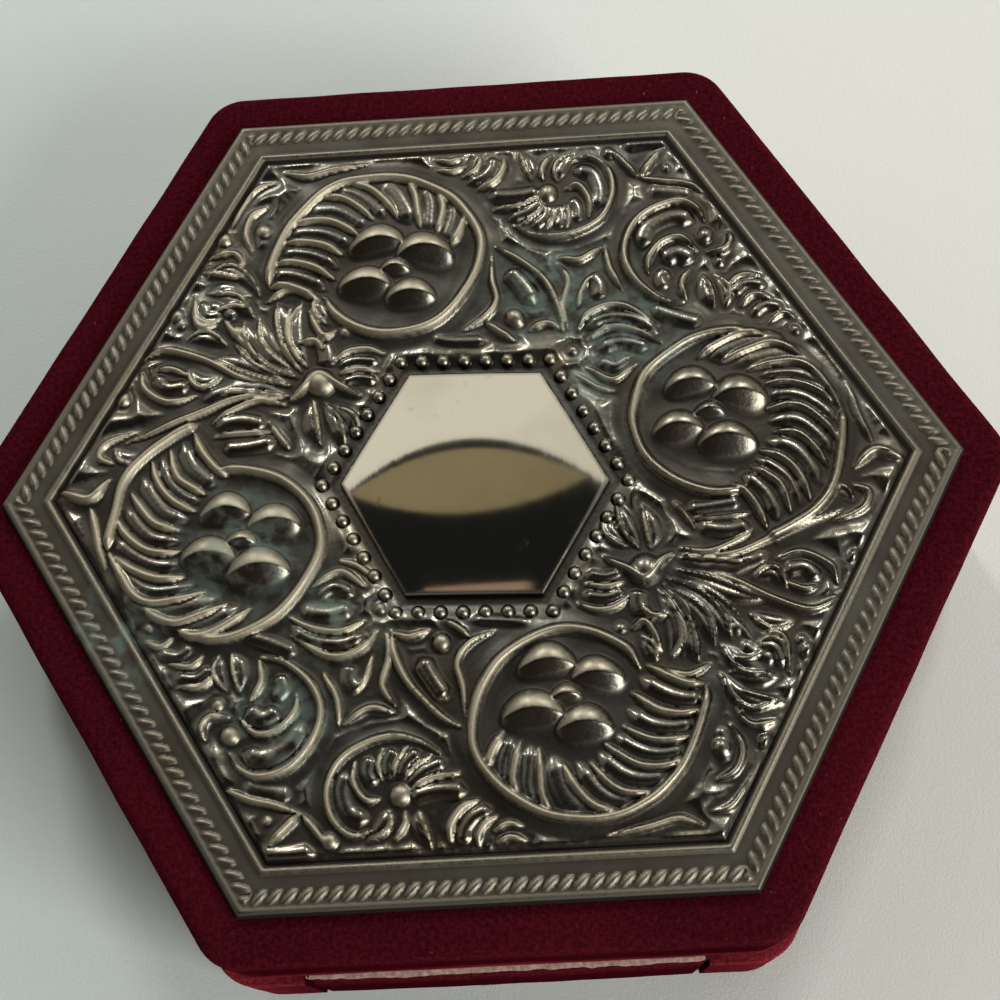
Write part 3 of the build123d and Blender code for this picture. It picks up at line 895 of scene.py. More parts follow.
points, faces = slab(PAD_COLUMNS, PAD_ROWS, pad_spots)
drawer_cushion = make_piece("drawer_cushion", points, faces, SATIN, "drawer", ["drawer_pad"])
FELT_CORNER = 4.0
FELT_BEVEL = 0.15
FELT_SHARES = (0.02, 0.35, 0.7, 0.97)
FRAY_SIZE, FRAY, FRAYED = 1.6, 0.25, (0.9, 1.0)


def lay_felt():
    """Rings out along the underside, up the rim and back in along the upper side."""
    under = [(felt_high.y * share, FELT_CORNER * share, felt_low.z) for share in FELT_SHARES]
    rim = [(felt_high.y, FELT_CORNER, z) for z in (felt_low.z + FELT_BEVEL, felt_high.z - FELT_BEVEL)]
    over = [(apothem, corner, felt_high.z) for apothem, corner, z in reversed(under)]
    points, faces = loft(under + rim + over, closed=False, capped=True)
    edge = ramp(from_middle(points) / felt_high.y, *FRAYED)
    push_out(points, edge * (unevenness(points, FRAY_SIZE, FRAY, 8) - FRAY))
    return make_piece("felt_sheet", points, faces, FELT, "base", ["base_felt"])


declare_cloth(lay_felt(), 2 * felt_high.x, 2 * felt_high.y, ["base_floor"])
print("felt is", round(2 * felt_high.x), "mm across its corners")

# %% [markdown]
# ## A field of triangles for the plaque
# The plaque is thin metal pressed into scrolls and flowers. Its relief is a height for every point of a
# fine field, so the field comes first: rings of a triangular lattice, each ring a hexagon with six more
# points than the one inside it. The rim of the field is closed with straight walls and a flat back, so
# each piece is a solid body. Three pieces share the work, each with the density that it needs.

# %% Lattice rings between two hexagons
SIDE_ANGLES = (np.arange(SIDES) + 0.5) * HALF_TURN / 3


def hexagon_corners(apothem):
    """The six corners of a sharp hexagon, and the first one again."""
    angles = np.arange(SIDES + 1) * HALF_TURN / 3
    return np.column_stack([np.cos(angles), np.sin(angles)]) * apothem * SLANT


def side_distances(points):
    """How far each point lies from the middle, measured square to each of the six sides."""
    return points @ np.vstack([np.cos(SIDE_ANGLES), np.sin(SIDE_ANGLES)])


def apothem_of(points):
    return side_distances(points).max(axis=1)


class Lattice:
    """Points of a triangular lattice between two concentric hexagons, with the faces of a closed body."""

    def __init__(self, outer, first, last):
        self.first = first
        self.last = last
        self.outer = outer
        self.inner = outer * first / last
        self.starts = {}
        blocks = []
        total = 0
        for ring in range(first, last + 1):
            self.starts[ring] = total
            blocks.append(self.ring_points(ring))
            total += len(blocks[-1])
        self.flat = np.vstack(blocks)

    def ring_points(self, ring):
        if ring == 0:
            return np.zeros((1, 2))
        corners = hexagon_corners(self.outer) * ring / self.last
        share = (np.arange(ring) / ring)[:, None]
        return np.vstack([corners[s] * (1 - share) + corners[s + 1] * share for s in range(SIDES)])

    def at(self, ring, steps):
        count = max(SIDES * ring, 1)
        return self.starts[ring] + steps % count

    def triangles(self):
        made = []
        for ring in range(self.first, self.last):
            for side in range(SIDES):
                wide = np.arange(ring + 1)
                inner = self.at(ring, side * ring + wide)
                outer = self.at(ring + 1, side * (ring + 1) + wide)
                beyond = self.at(ring + 1, side * (ring + 1) + wide + 1)
                made.append(np.column_stack([inner, outer, beyond]))
                made.append(np.column_stack([inner[:-1], beyond[:-1], inner[1:]]))
        return np.vstack(made)

    def side_row(self, ring, side):
        return self.at(ring, side * ring + np.arange(ring + 1)).tolist()

    def body(self, heights, back):
        """Points and faces of the field at these heights, with walls down to a flat back."""
        top = np.column_stack([self.flat, heights])
        faces = self.triangles().tolist()
        count = len(top)
        rims = [self.last] if self.first == 0 else [self.last, self.first]
        low = [self.flat[self.at(ring, ring * side)] for ring in rims for side in range(SIDES)]
        points = np.vstack([top, np.column_stack([low, np.full(len(low), back)])])
        for side in range(SIDES):
            after = (side + 1) % SIDES
            faces.append([count + side, count + after] + self.side_row(self.last, side)[::-1])
            if self.first:
                here, there = count + SIDES + side, count + SIDES + after
                faces.append([there, here] + self.side_row(self.first, side))
                faces.append([count + side, here, there, count + after])
        if not self.first:
            faces.append([count + side for side in reversed(range(SIDES))])
        return points, faces

    def averaged(self, values, rounds):
        """Values smoothed over the lattice: each becomes the mean of its neighbours, again and again."""
        corners = self.triangles()
        here = np.concatenate([corners[:, 0], corners[:, 1], corners[:, 2]])
        there = np.concatenate([corners[:, 1], corners[:, 2], corners[:, 0]])
        both = np.concatenate([here, there])
        other = np.concatenate([there, here])
        count = np.bincount(both, minlength=len(values))
        for _ in range(rounds):
            values = np.bincount(both, weights=values[other], minlength=len(values)) / count
        return values


BORDER_RINGS = (235, 265)
FIELD_RINGS = (53, 190)
MIRROR_RINGS = (0, 68)
MIRROR_APOTHEM = 16.0
border = Lattice(plaque_high.y, *BORDER_RINGS)
field = Lattice(border.inner, *FIELD_RINGS)
mirror = Lattice(MIRROR_APOTHEM, *MIRROR_RINGS)
print("lattice points:", len(border.flat), len(field.flat), len(mirror.flat))

# %% [markdown]
# ## Strokes that raise the metal
# A chaser works the metal with a few punches, and this relief is made with a few strokes of that kind.
# A `ridge` is a thin raised line with a low swell under it, a `finger` is a plump rounded body, a `leaf`
# is a finger with a thin ridge along one edge, a `bead` is a small dome and a `hood` is a petal with a
# hollow side. A long stroke follows a smooth curve through a few points. Every stroke only ever lifts
# the field, with a soft join to what is there already.

# %% The chaser's strokes
CURVE_STEPS = 44
JOIN = 0.22
LEAST_RUN = 1e-9
ROLL_TIP, ROLL_FALL = 0.12, 0.6
ROLL_RUB_FALL, BEAD_RUB_FALL = 0.5, 0.3
RIDGE_TAPER, RIDGE_WIDTH, RIDGE_PLUMP = 0.3, 1.35, 0.8
UNDER_WIDTH, UNDER_HEIGHT = 2.7, 0.42
FINGER_TAPER = 0.16
LEAF_TAPER, LEAF_HEIGHT = 0.4, 0.85
VEIN_AT, VEIN_WIDTH, VEIN_HEIGHT = 0.85, 0.42, 1.1
CREST_AT, CREST_BEND, CREST_EDGE = 0.25, 0.3, 0.1
CREST_PAINTED_HIGHLIGHT = 0.8
CREST_SPREAD = np.array([1.12, 1.0])
HOLLOW = 0.5


def curve_through(points, steps=CURVE_STEPS):
    """A smooth curve through given points."""
    p = np.asarray(points, float)
    p = np.vstack([2 * p[0] - p[1], p, 2 * p[-1] - p[-2]])
    spot = np.linspace(0, len(p) - 3, steps)
    part = np.minimum(spot.astype(int), len(p) - 4)
    t = (spot - part)[:, None]
    a, b, c, d = p[part], p[part + 1], p[part + 2], p[part + 3]
    cube = 3 * b - a - 3 * c + d
    return 0.5 * (2 * b + (c - a) * t + (2 * a - 5 * b + 4 * c - d) * t**2 + cube * t**3)


class Relief:
    """Heights over the field's points, and how pale each point is: worn on the raised lines, a painted
    highlight on the petals.
    """

    def __init__(self, points):
        self.points = points
        self.height = np.zeros(len(points))
        self.wear_and_light = np.zeros(len(points))

    def lift(self, places, heights, wear_and_light):
        """Raise some points, with a soft maximum so that forms run into each other."""
        now = self.height[places]
        share = np.clip(0.5 + 0.5 * (heights - now) / JOIN, 0, 1)
        self.height[places] = now * (1 - share) + heights * share + JOIN * share * (1 - share)
        self.wear_and_light[places] = self.wear_and_light[places] * (1 - share) + wear_and_light * share

    def nearby(self, low, high):
        inside = (self.points > low) & (self.points < high)
        return np.nonzero(inside.all(axis=1))[0]

    def follow(self, path, reach):
        """The points near a path, their distance from it and how far along it they lie, from 0 to 1."""
        places = self.nearby(path.min(axis=0) - reach, path.max(axis=0) + reach)
        spots = self.points[places]
        nearest = np.full(len(spots), np.inf)
        along = np.zeros(len(spots))
        for number, (start, end) in enumerate(zip(path[:-1], path[1:])):
            run = end - start
            share = np.clip((spots - start) @ run / max(run @ run, LEAST_RUN), 0, 1)
            gap = np.linalg.norm(spots - start - share[:, None] * run, axis=1)
            closer = gap < nearest
            nearest[closer] = gap[closer]
            along[closer] = (number + share[closer]) / (len(path) - 1)
        return places, nearest, along

    def roll(self, path, width, height, taper, wear_and_light=0.1, plump=0.5):
        """A rounded bar along a path, drawn out to a point over a share of each end."""
        places, gap, along = self.follow(path, width)
        ends = np.clip(np.minimum(along, 1 - along) / taper + ROLL_TIP, 0, 1) ** ROLL_FALL
        full = np.clip(1 - (gap / (width * ends)) ** 2, 0, 1)
        used = full > 0
        heights = height * ends**ROLL_FALL * full**plump
        self.lift(places[used], heights[used], wear_and_light * full[used] ** ROLL_RUB_FALL)

    def ridge(self, path, width, height):
        self.roll(path, width * UNDER_WIDTH, height * UNDER_HEIGHT, RIDGE_TAPER)
        self.roll(path, width * RIDGE_WIDTH, height, RIDGE_TAPER, wear_and_light=1.0, plump=RIDGE_PLUMP)

    def finger(self, path, width, height):
        self.roll(path, width, height, FINGER_TAPER)

    def leaf(self, path, width, height):
        self.roll(path, width, height * LEAF_HEIGHT, LEAF_TAPER)
        run = np.gradient(path, axis=0)
        across = np.column_stack([-run[:, 1], run[:, 0]]) / np.linalg.norm(run, axis=1)[:, None]
        swell = np.sin(np.linspace(0, HALF_TURN, len(path)))[:, None]
        vein = path + across * swell * width * VEIN_AT
        self.roll(vein, VEIN_WIDTH, height * VEIN_HEIGHT, RIDGE_TAPER, wear_and_light=1.0)

    def bead(self, centre, radius, height, wear_and_light=0.75, plump=0.5):
        """A round dome."""
        away = ((self.points - centre) / radius).T
        full = 1 - away[0] ** 2 - away[1] ** 2
        used = np.nonzero(full > 0)[0]
        self.lift(used, height * full[used] ** plump, wear_and_light * full[used] ** BEAD_RUB_FALL)

    def hood(self, centre, size, height, base):
        """A petal like a hood: round beyond its crest and painted pale there as a highlight, hollow and
        glossy on this side of it.
        """
        across, up = ((self.points - centre) / (size * CREST_SPREAD)).T
        past = up - CREST_AT + CREST_BEND * across**2
        sides = np.clip(1 - across**2, 0, 1) ** 0.5
        used = np.nonzero((past < (1 - CREST_AT) * sides) & (past > -sides))[0]
        past = past[used]
        sides = sides[used]
        beyond = np.clip(past / ((1 - CREST_AT) * sides), 0, 1)
        below = np.clip(-past / sides, 0, 1)
        near = HOLLOW * (1 - below) ** 2 + (1 - HOLLOW) * (1 - below**2)
        heights = base + height * sides * np.where(past > 0, (1 - beyond**2) ** 0.5, near)
        # Painted highlight: the far side of the crest is painted pale.
        self.lift(used, heights, CREST_PAINTED_HIGHLIGHT * np.clip(past / CREST_EDGE + 0.5, 0, 1))


WOBBLE_SIZE, WOBBLE = 7.0, 0.45
wander = np.column_stack([unevenness(field.flat, WOBBLE_SIZE, WOBBLE, seed) for seed in (11, 12)])
relief = Relief(field.flat + wander)
print("relief points:", len(relief.height))

# %% [markdown]
# ## Four fluted medallions
# Four round whorls stand about the mirror. Each is a ring that winds outwards by nearly a turn, ribs that
# leave the ring and curl in, a plump dark flute between each rib and the next, and a flower of four
# hooded petals round a bud. A rib has only the points that its curve needs, and a flute runs midway
# between its two ribs, so its path and its width come from them. Two of the whorls are the other two
# after half a turn, moved by about a millimetre, since the die was not cut quite evenly.

# %% Draw the medallions
UPPER_RING = [
    (-20.7, 28), (-19, 25), (-15.4, 22.8), (-10.7, 21.8), (-6, 23), (-2.2, 25.6), (0.5, 30.2),
    (1.6, 35), (0.8, 38.8), (-1.7, 42.3), (-5, 44.6), (-8.3, 46), (-12.7, 46.7), (-17.2, 46.4),
    (-20.9, 44.7), (-23.6, 42.3), (-25.9, 39.6), (-27.5, 36.5), (-28.7, 32.6), (-29, 30.5),
]
UPPER_RIBS = [
    [(-28.8, 30.2), (-26.6, 30.2), (-23.7, 29), (-21.5, 27.6)],
    [(-28.2, 33.8), (-25.5, 34), (-22.2, 33), (-19.2, 31)],
    [(-27, 37.2), (-23.6, 37.2), (-20.7, 36.5), (-18, 35)],
    [(-26, 39.4), (-23.2, 40.5), (-20, 40.3), (-17.3, 38.8), (-15.3, 37.2)],
    [(-21.5, 44), (-18, 43.8), (-15.4, 42.2), (-13.2, 39.6)],
    [(-17.2, 46.3), (-13.8, 45.2), (-11.6, 43), (-9.8, 39.6)],
    [(-8.2, 45.9), (-7.2, 43.5), (-7, 41), (-6.6, 37.6)],
    [(-4.2, 43.9), (-3.4, 41.6), (-3.7, 39), (-4.4, 36.4)],
    [(-0.2, 40), (-1, 37.6), (-2.6, 34.8)],
]
UPPER_FLOWER = (-10.7, 31.3)
LEFT_RING = [
    (-36.7, 2.7), (-31.8, 2.6), (-27, 0.7), (-23.5, -2.8), (-22, -7.4), (-22.6, -11),
    (-24.6, -15), (-27.6, -18), (-31.3, -20.1), (-35, -20.9), (-39.6, -20.6),
]
LEFT_RIM = [(-38.5, 9.8), (-42.2, 8.2), (-45.6, 6), (-48.6, 2.2), (-50, -2.6), (-50.8, -7.6)]
LEFT_RIBS = [
    [(-39, 8.6), (-38, 5.6), (-36.4, 3.2), (-34.6, 1.6)],
    [(-42.5, 6.6), (-41.5, 2.5), (-39.7, 0.8), (-37.6, -0.6)],
    [(-45.2, 5), (-44, 1.3), (-41.9, -1.4), (-38.8, -3)],
    [(-48, 0.4), (-46, -2.8), (-44, -4.7), (-40.8, -5.6)],
    [(-50, -2.7), (-48.4, -5.6), (-45.9, -8), (-43.3, -8.9), (-40.2, -8.8)],
    [(-50, -8.6), (-47.6, -10.8), (-43.6, -12.4), (-40, -12.4)],
    [(-50.7, -7.9), (-49.3, -11), (-47.3, -14), (-44.6, -15.5), (-40.8, -15.4), (-37.6, -14.4)],
    [(-46.2, -15.6), (-44, -17.6), (-41.3, -18.6), (-37.7, -17.6), (-34.5, -16.2)],
    [(-41.6, -19.4), (-39.2, -20.4), (-36.6, -20), (-33.4, -18.5), (-31.3, -17)],
]
LEFT_FLOWER = (-32.5, -8.2)
RIB_WIDTH, RIB_HEIGHT, RIB_TAPER = 0.92, 1.95, 0.25
RING_WIDTH, RING_HEIGHT, RING_TAPER = 1.0, 2.1, 0.06
RING_UNDER = (2.4, 0.45)
WIRE_PLUMP = 0.75
FLUTE_SHARE, FLUTE_HEIGHT, FLUTE_TAPER, FLUTE_RUBBED = 0.36, 1.4, 0.2, 0.05
FLOWER_PETALS = 4
PETAL_TURN = math.radians(28)
PETAL_AT = 4.7
PETAL_SIZE, PETAL_HEIGHT = 3.75, 2.35
PETAL_VARIES, PETAL_STEP = 0.08, 5.1
BUD_SIZE, BUD_HEIGHT = 2.3, 2.3
DISH_SIZE, DISH_HEIGHT, DISH_TOP, DISH_RUBBED = 9.6, 0.8, 0.45, 0.25
WHORL_SHIFTS = {1: ((0, 0), (0, 0)), -1: ((-0.6, -0.4), (-0.5, -1.6))}


def blossom(middle):
    """Hooded petals round a bud, on a low domed dish. The petals differ a little in size."""
    relief.bead(middle, DISH_SIZE, DISH_HEIGHT, DISH_RUBBED, plump=1.0)
    for number in range(FLOWER_PETALS):
        place = middle + PETAL_AT * heading(PETAL_TURN + 2 * HALF_TURN * number / FLOWER_PETALS)
        broad = 1 + PETAL_VARIES * math.sin(PETAL_STEP * number + middle[0])
        relief.hood(place, PETAL_SIZE * broad, PETAL_HEIGHT * broad, DISH_TOP)
    relief.hood(middle, BUD_SIZE, BUD_HEIGHT, DISH_TOP)


def whorl(lines, ribs, flower):
    """A ring and its ribs, the flutes between the ribs and the flower in the middle."""
    curves = [curve_through(rib) for rib in ribs]
    for first, second in zip(curves[:-1], curves[1:]):
        gap = np.median(np.linalg.norm(first - second, axis=1))
        flute = (first + second) / 2
        relief.roll(flute, gap * FLUTE_SHARE, FLUTE_HEIGHT, FLUTE_TAPER, FLUTE_RUBBED)
    for curve in curves:
        relief.roll(curve, RIB_WIDTH, RIB_HEIGHT, RIB_TAPER, wear_and_light=1.0, plump=WIRE_PLUMP)
    for line in lines:
        curve = curve_through(line, 3 * CURVE_STEPS)
        relief.roll(curve, RING_WIDTH * RING_UNDER[0], RING_HEIGHT * RING_UNDER[1], RING_TAPER)
        relief.roll(curve, RING_WIDTH, RING_HEIGHT, RING_TAPER, wear_and_light=1.0, plump=WIRE_PLUMP)
    blossom(flower)


WHORLS = [([UPPER_RING], UPPER_RIBS, UPPER_FLOWER), ([LEFT_RING, LEFT_RIM], LEFT_RIBS, LEFT_FLOWER)]
for way, shifts in WHORL_SHIFTS.items():
    for (lines, ribs, flower), shift in zip(WHORLS, shifts):
        placed_lines = [way * np.array(line) + shift for line in lines]
        placed_ribs = [way * np.array(rib) + shift for rib in ribs]
        whorl(placed_lines, placed_ribs, way * np.array(flower) + shift)
print("medallions raise the field to", round(relief.height.max(), 2), "mm")

# %% [markdown]
# ## Scrolls, buds and leaves
# Between the medallions the metal is full of small scrolls, buds and leaves. They are chosen one by one,
# as a chaser would lay them out, and each stroke has only the points that its curve needs. The design
# looks the same after half a turn, so every stroke is made twice, once as written and once turned.

# %% Lay out the strokes
PATTERN_SHIFT = np.array([0.75, 0.5])
KNOT = [
    ("ridge", 0.6, 2.3, [(-26.5, 12.2), (-24.5, 13.5), (-22.3, 15.6), (-20, 14), (-17, 12.2)]),
    ("leaf", 1.4, 1.5, [(-24.6, 16.2), (-26.3, 20.5), (-27.5, 25), (-28.5, 27.2)]),
    ("leaf", 1.3, 1.4, [(-23.6, 16.8), (-25, 20), (-25.6, 24), (-24.6, 27)]),
    ("ridge", 0.6, 1.9, [(-23.8, 25.8), (-22.8, 23), (-21.5, 21.4), (-19.8, 22.2)]),
    ("finger", 1.6, 1.4, [(-21.8, 20.6), (-21.2, 18.6), (-21.4, 17)]),
    ("leaf", 1.5, 1.5, [(-25, 15.5), (-29, 18.5), (-31.6, 22), (-33, 24.5)]),
    ("leaf", 1.5, 1.5, [(-26, 14.3), (-30.5, 16.8), (-34.5, 18.5), (-38, 19)]),
    ("leaf", 1.4, 1.4, [(-26.5, 12.9), (-30.5, 14.4), (-34.5, 14.8), (-37.5, 13)]),
    ("ridge", 0.5, 1.5, [(-27, 11.7), (-31, 12.4), (-35, 10.9), (-37.5, 9.2)]),
    ("ridge", 0.5, 1.5, [(-20.8, 17.2), (-18.3, 19), (-15.5, 19.4), (-13, 18.4)]),
    ("finger", 1.0, 1.2, [(-19.8, 16.9), (-17.2, 17.8), (-14, 17.4)]),
    ("ridge", 0.5, 1.4, [(-20.2, 15.6), (-17.3, 16.4), (-14.3, 15.9)]),
    ("finger", 1.0, 1.2, [(-19.6, 14.3), (-17.2, 15), (-14.6, 14.4)]),
    ("leaf", 1.2, 1.4, [(-23.4, 12), (-24, 8.5), (-22.7, 5)]),
    ("leaf", 1.2, 1.4, [(-22, 11.5), (-20.6, 8), (-19, 4.5)]),
    ("leaf", 1.0, 1.2, [(-20.5, 11), (-18.2, 8.6), (-17.4, 6.2)]),
    ("finger", 1.5, 1.3, [(-37, 8.8), (-33.5, 9.4), (-29.8, 8.7)]),
    ("finger", 1.4, 1.3, [(-36, 5.4), (-32.5, 5.7), (-28.5, 6.2)]),
    ("ridge", 0.45, 1.4, [(-29.6, 9.4), (-28, 6.6), (-26.8, 4.8)]),
    ("ridge", 0.45, 1.4, [(-37.5, 7.2), (-33, 7.6), (-28.6, 7.6)]),
]
SIDE_SPRAY = [
    ("ridge", 0.5, 1.4, [(-29.6, 42.8), (-32, 41.4), (-33, 38.5), (-32, 35.4)]),
    ("finger", 1.2, 0.9, [(-30.4, 40.6), (-31, 38.2), (-30.4, 36)]),
    ("ridge", 0.45, 1.1, [(-35.2, 40), (-33.6, 43), (-31.2, 46), (-28.5, 46.8)]),
    ("leaf", 1.2, 1.3, [(-38.3, 32), (-35.5, 32.7), (-33, 31.2), (-31, 28.8)]),
    ("ridge", 0.5, 1.4, [(-40.3, 29.5), (-40.1, 26.2), (-38.3, 24.7), (-36, 25.4)]),
    ("leaf", 1.4, 1.3, [(-37.5, 29), (-34.5, 27.7), (-31.6, 25)]),
    ("finger", 1.2, 1.1, [(-38.6, 27.4), (-36.4, 26.8), (-34.2, 25)]),
    ("ridge", 0.5, 1.2, [(-36, 25.2), (-34, 22.4), (-31.2, 19.6)]),
    ("leaf", 1.2, 1.1, [(-41.6, 22.4), (-38.6, 22.4), (-35.6, 21)]),
    ("ridge", 0.5, 1.5, [(-27.3, 48.4), (-24, 47.3), (-20, 48.3), (-15, 49)]),
]
STEM = [
    ("ridge", 0.55, 1.6, [(26, -13.6), (32, -13.9), (37, -12.2), (42, -10.4), (48, -8.3)]),
    ("ridge", 0.5, 1.5, [(27, -15.8), (32, -17), (37.5, -20), (42.5, -22), (46.5, -20.6)]),
    ("finger", 1.3, 1.2, [(28.5, -14.8), (33, -15.3), (37.4, -14)]),
    ("ridge", 0.5, 1.4, [(38, -14.7), (42, -13.9), (45.4, -16), (46.2, -18.6)]),
    ("finger", 1.3, 1.2, [(39.2, -16.2), (42.2, -16), (44, -18)]),
    ("ridge", 0.45, 1.3, [(39.3, -17.6), (41.8, -19), (43.8, -18.9)]),
    ("leaf", 1.1, 1.2, [(34.5, -17.4), (37.5, -16.6), (39.5, -18.6)]),
    ("ridge", 0.5, 1.5, [(35.3, -25.2), (38, -25.3), (39.3, -28.2)]),
    ("finger", 1.1, 1.2, [(34.6, -26.8), (37, -27), (38, -29.4)]),
    ("ridge", 0.45, 1.4, [(30.4, -27.8), (33.6, -28.2), (36.3, -27)]),
    ("leaf", 1.2, 1.2, [(30.6, -29.8), (34, -31), (37.2, -30.6)]),
    ("leaf", 1.1, 1.2, [(31, -32), (34, -33.8), (37.6, -34)]),
    ("ridge", 0.45, 1.2, [(31.5, -34.6), (33.2, -36.6), (37, -36.2)]),
    ("leaf", 1.3, 1.4, [(24.4, -18), (27.5, -22), (29.3, -26.2)]),
    ("leaf", 1.2, 1.3, [(26, -17), (29.5, -20), (33, -22.3)]),
    ("leaf", 1.3, 1.4, [(22.5, -19.4), (24.3, -23), (25, -27.6)]),
    ("ridge", 0.6, 1.9, [(20, -20), (21.3, -21.8), (23.8, -21.8)]),
    ("ridge", 0.5, 1.5, [(21.8, -29), (25.5, -29.9), (28.6, -28.6)]),
    ("leaf", 1.1, 1.3, [(19.2, -24), (20.6, -26.5), (21.2, -28.4)]),
]
END_CORNER = [
    ("ridge", 0.7, 1.9, [(50, -2.9), (53, -0.2), (57, -1.4)]),
    ("ridge", 0.55, 1.3, [(53, 0.6), (51.6, 5), (50.4, 10)]),
    ("ridge", 0.5, 1.3, [(49.5, -5), (51.6, -6.2), (50.6, -8.4), (46.2, -9.9)]),
    ("leaf", 1.1, 1.1, [(45, -6.6), (47.8, -6), (49.6, -7.4)]),
    ("finger", 1.3, 0.9, [(49.4, 3.4), (48.6, 8), (46.4, 13)]),
]
print("strokes so far:", len(KNOT) + len(SIDE_SPRAY) + len(STEM) + len(END_CORNER))

# %% More strokes: the small scrolls, the bud and the arched leaf
SMALL_SCROLL = [
    ("ridge", 0.55, 1.9, [(14.3, 46.8), (17.5, 47.3), (20, 45), (20.6, 41.5), (19.2, 38.3), (16.5, 36.2),
                          (12.5, 34.9), (8.6, 35.6), (5.6, 37.6)]),
    ("finger", 1.5, 1.2, [(15, 45.4), (17.6, 44.6), (18.6, 41.6), (17.8, 39)]),
    ("ridge", 0.5, 1.7, [(13.5, 42.6), (15.5, 42.8), (17, 40.5), (16.7, 37.6)]),
    ("finger", 1.2, 1.3, [(14.2, 41), (15.2, 39.4), (14.9, 37.2)]),
    ("finger", 1.2, 1.3, [(12.4, 40.4), (12.7, 38.2), (11.8, 36.4)]),
    ("finger", 1.2, 1.3, [(11.2, 40.6), (10.4, 38.4), (8.4, 36.8)]),
    ("finger", 1.2, 1.3, [(10.4, 41.4), (8, 39.6), (5, 38.6)]),
    ("finger", 1.4, 1.4, [(10, 42.8), (6.4, 42.2), (2.4, 42.3)]),
    ("ridge", 0.45, 1.6, [(10.2, 42), (7, 40.6), (3, 40.2)]),
    ("ridge", 0.4, 1.5, [(13.3, 40.6), (13.9, 38.4), (13.2, 36)]),
    ("ridge", 0.4, 1.5, [(11.8, 40.4), (11.6, 38.2), (10, 36)]),
    ("ridge", 0.4, 1.5, [(10.8, 41), (9.2, 39), (6.6, 37.4)]),
    ("ridge", 0.5, 1.5, [(10.4, 44.4), (10.5, 46.2), (12.2, 48.4)]),
    ("leaf", 1.2, 1.3, [(12.5, 44), (13.4, 46), (15.4, 48.4)]),
    ("leaf", 1.1, 1.2, [(8.8, 44.4), (8.8, 46.8), (7.4, 49.2)]),
    ("ridge", 0.6, 1.7, [(1, 43.4), (3.3, 44.3), (4.8, 46.3), (5, 48.6)]),
    ("finger", 1.2, 1.2, [(-0.6, 44.6), (1.8, 45.4), (3.2, 47), (3.3, 49)]),
    ("ridge", 0.5, 1.3, [(-1.4, 45.6), (0.4, 46.4), (1.4, 47.8), (1.5, 49.4)]),
    ("ridge", 0.45, 1.2, [(-4.8, 47.2), (-2.6, 46.7), (-0.6, 47.6)]),
    ("ridge", 0.45, 1.2, [(-5, 49), (-2.8, 48.4), (-1, 49.2)]),
]
LOWER_SCROLL = [
    ("ridge", 0.6, 2.0, [(33, 36.2), (32, 38.2), (29.5, 39.3), (25.5, 38.2), (22.3, 35), (21.3, 31),
                         (22.8, 27), (26, 24.2), (29.4, 23.6)]),
    ("finger", 1.8, 1.5, [(31.6, 36.2), (28.6, 37), (25.2, 35.4), (23.6, 32.4)]),
    ("ridge", 0.55, 1.8, [(31.8, 31.4), (29.5, 33.7), (26.8, 33.2), (24.7, 30.7), (24.6, 28.4)]),
    ("finger", 1.7, 1.5, [(31, 30.2), (28.8, 31.5), (26.6, 30.4)]),
    ("finger", 1.3, 1.2, [(27.6, 28.9), (26.4, 27.6), (27, 25.8)]),
    ("ridge", 0.5, 1.8, [(33, 31.3), (35.5, 31.1), (36.7, 32.4), (36.4, 34.2)]),
    ("ridge", 0.5, 1.5, [(30.6, 29.2), (29.2, 26.6), (29.6, 23.8)]),
    ("leaf", 1.2, 1.3, [(32, 28), (32, 25), (33.2, 22.4)]),
    ("leaf", 1.0, 1.1, [(33.8, 27.8), (34.9, 25), (34.8, 22.4)]),
    ("ridge", 0.5, 1.3, [(35.3, 25.2), (37.3, 27), (40.4, 27)]),
    ("finger", 1.1, 1.1, [(36, 24.2), (38, 25.8), (40.8, 25.4)]),
    ("ridge", 0.5, 1.3, [(37, 22.4), (38.8, 24), (41.6, 23.4)]),
    ("finger", 1.0, 1.0, [(38.4, 21), (40.4, 22.4), (43, 21.8)]),
    ("ridge", 0.45, 1.1, [(40.4, 19.4), (42.6, 21), (44.8, 20.2)]),
]
TOP_CORNER = [
    ("ridge", 0.5, 1.5, [(20.6, 48.6), (22.5, 46), (24, 44)]),
    ("ridge", 0.6, 2.0, [(28.4, 48.2), (26, 45.8), (24.3, 44)]),
    ("ridge", 0.5, 1.4, [(24, 44), (27.5, 42.9), (31, 42.2), (34.2, 40.8)]),
    ("finger", 1.5, 1.0, [(25.2, 41.8), (28.6, 41.2), (32, 40.4)]),
    ("finger", 1.6, 1.1, [(22.4, 49.2), (26, 49.6), (30, 49.2)]),
]
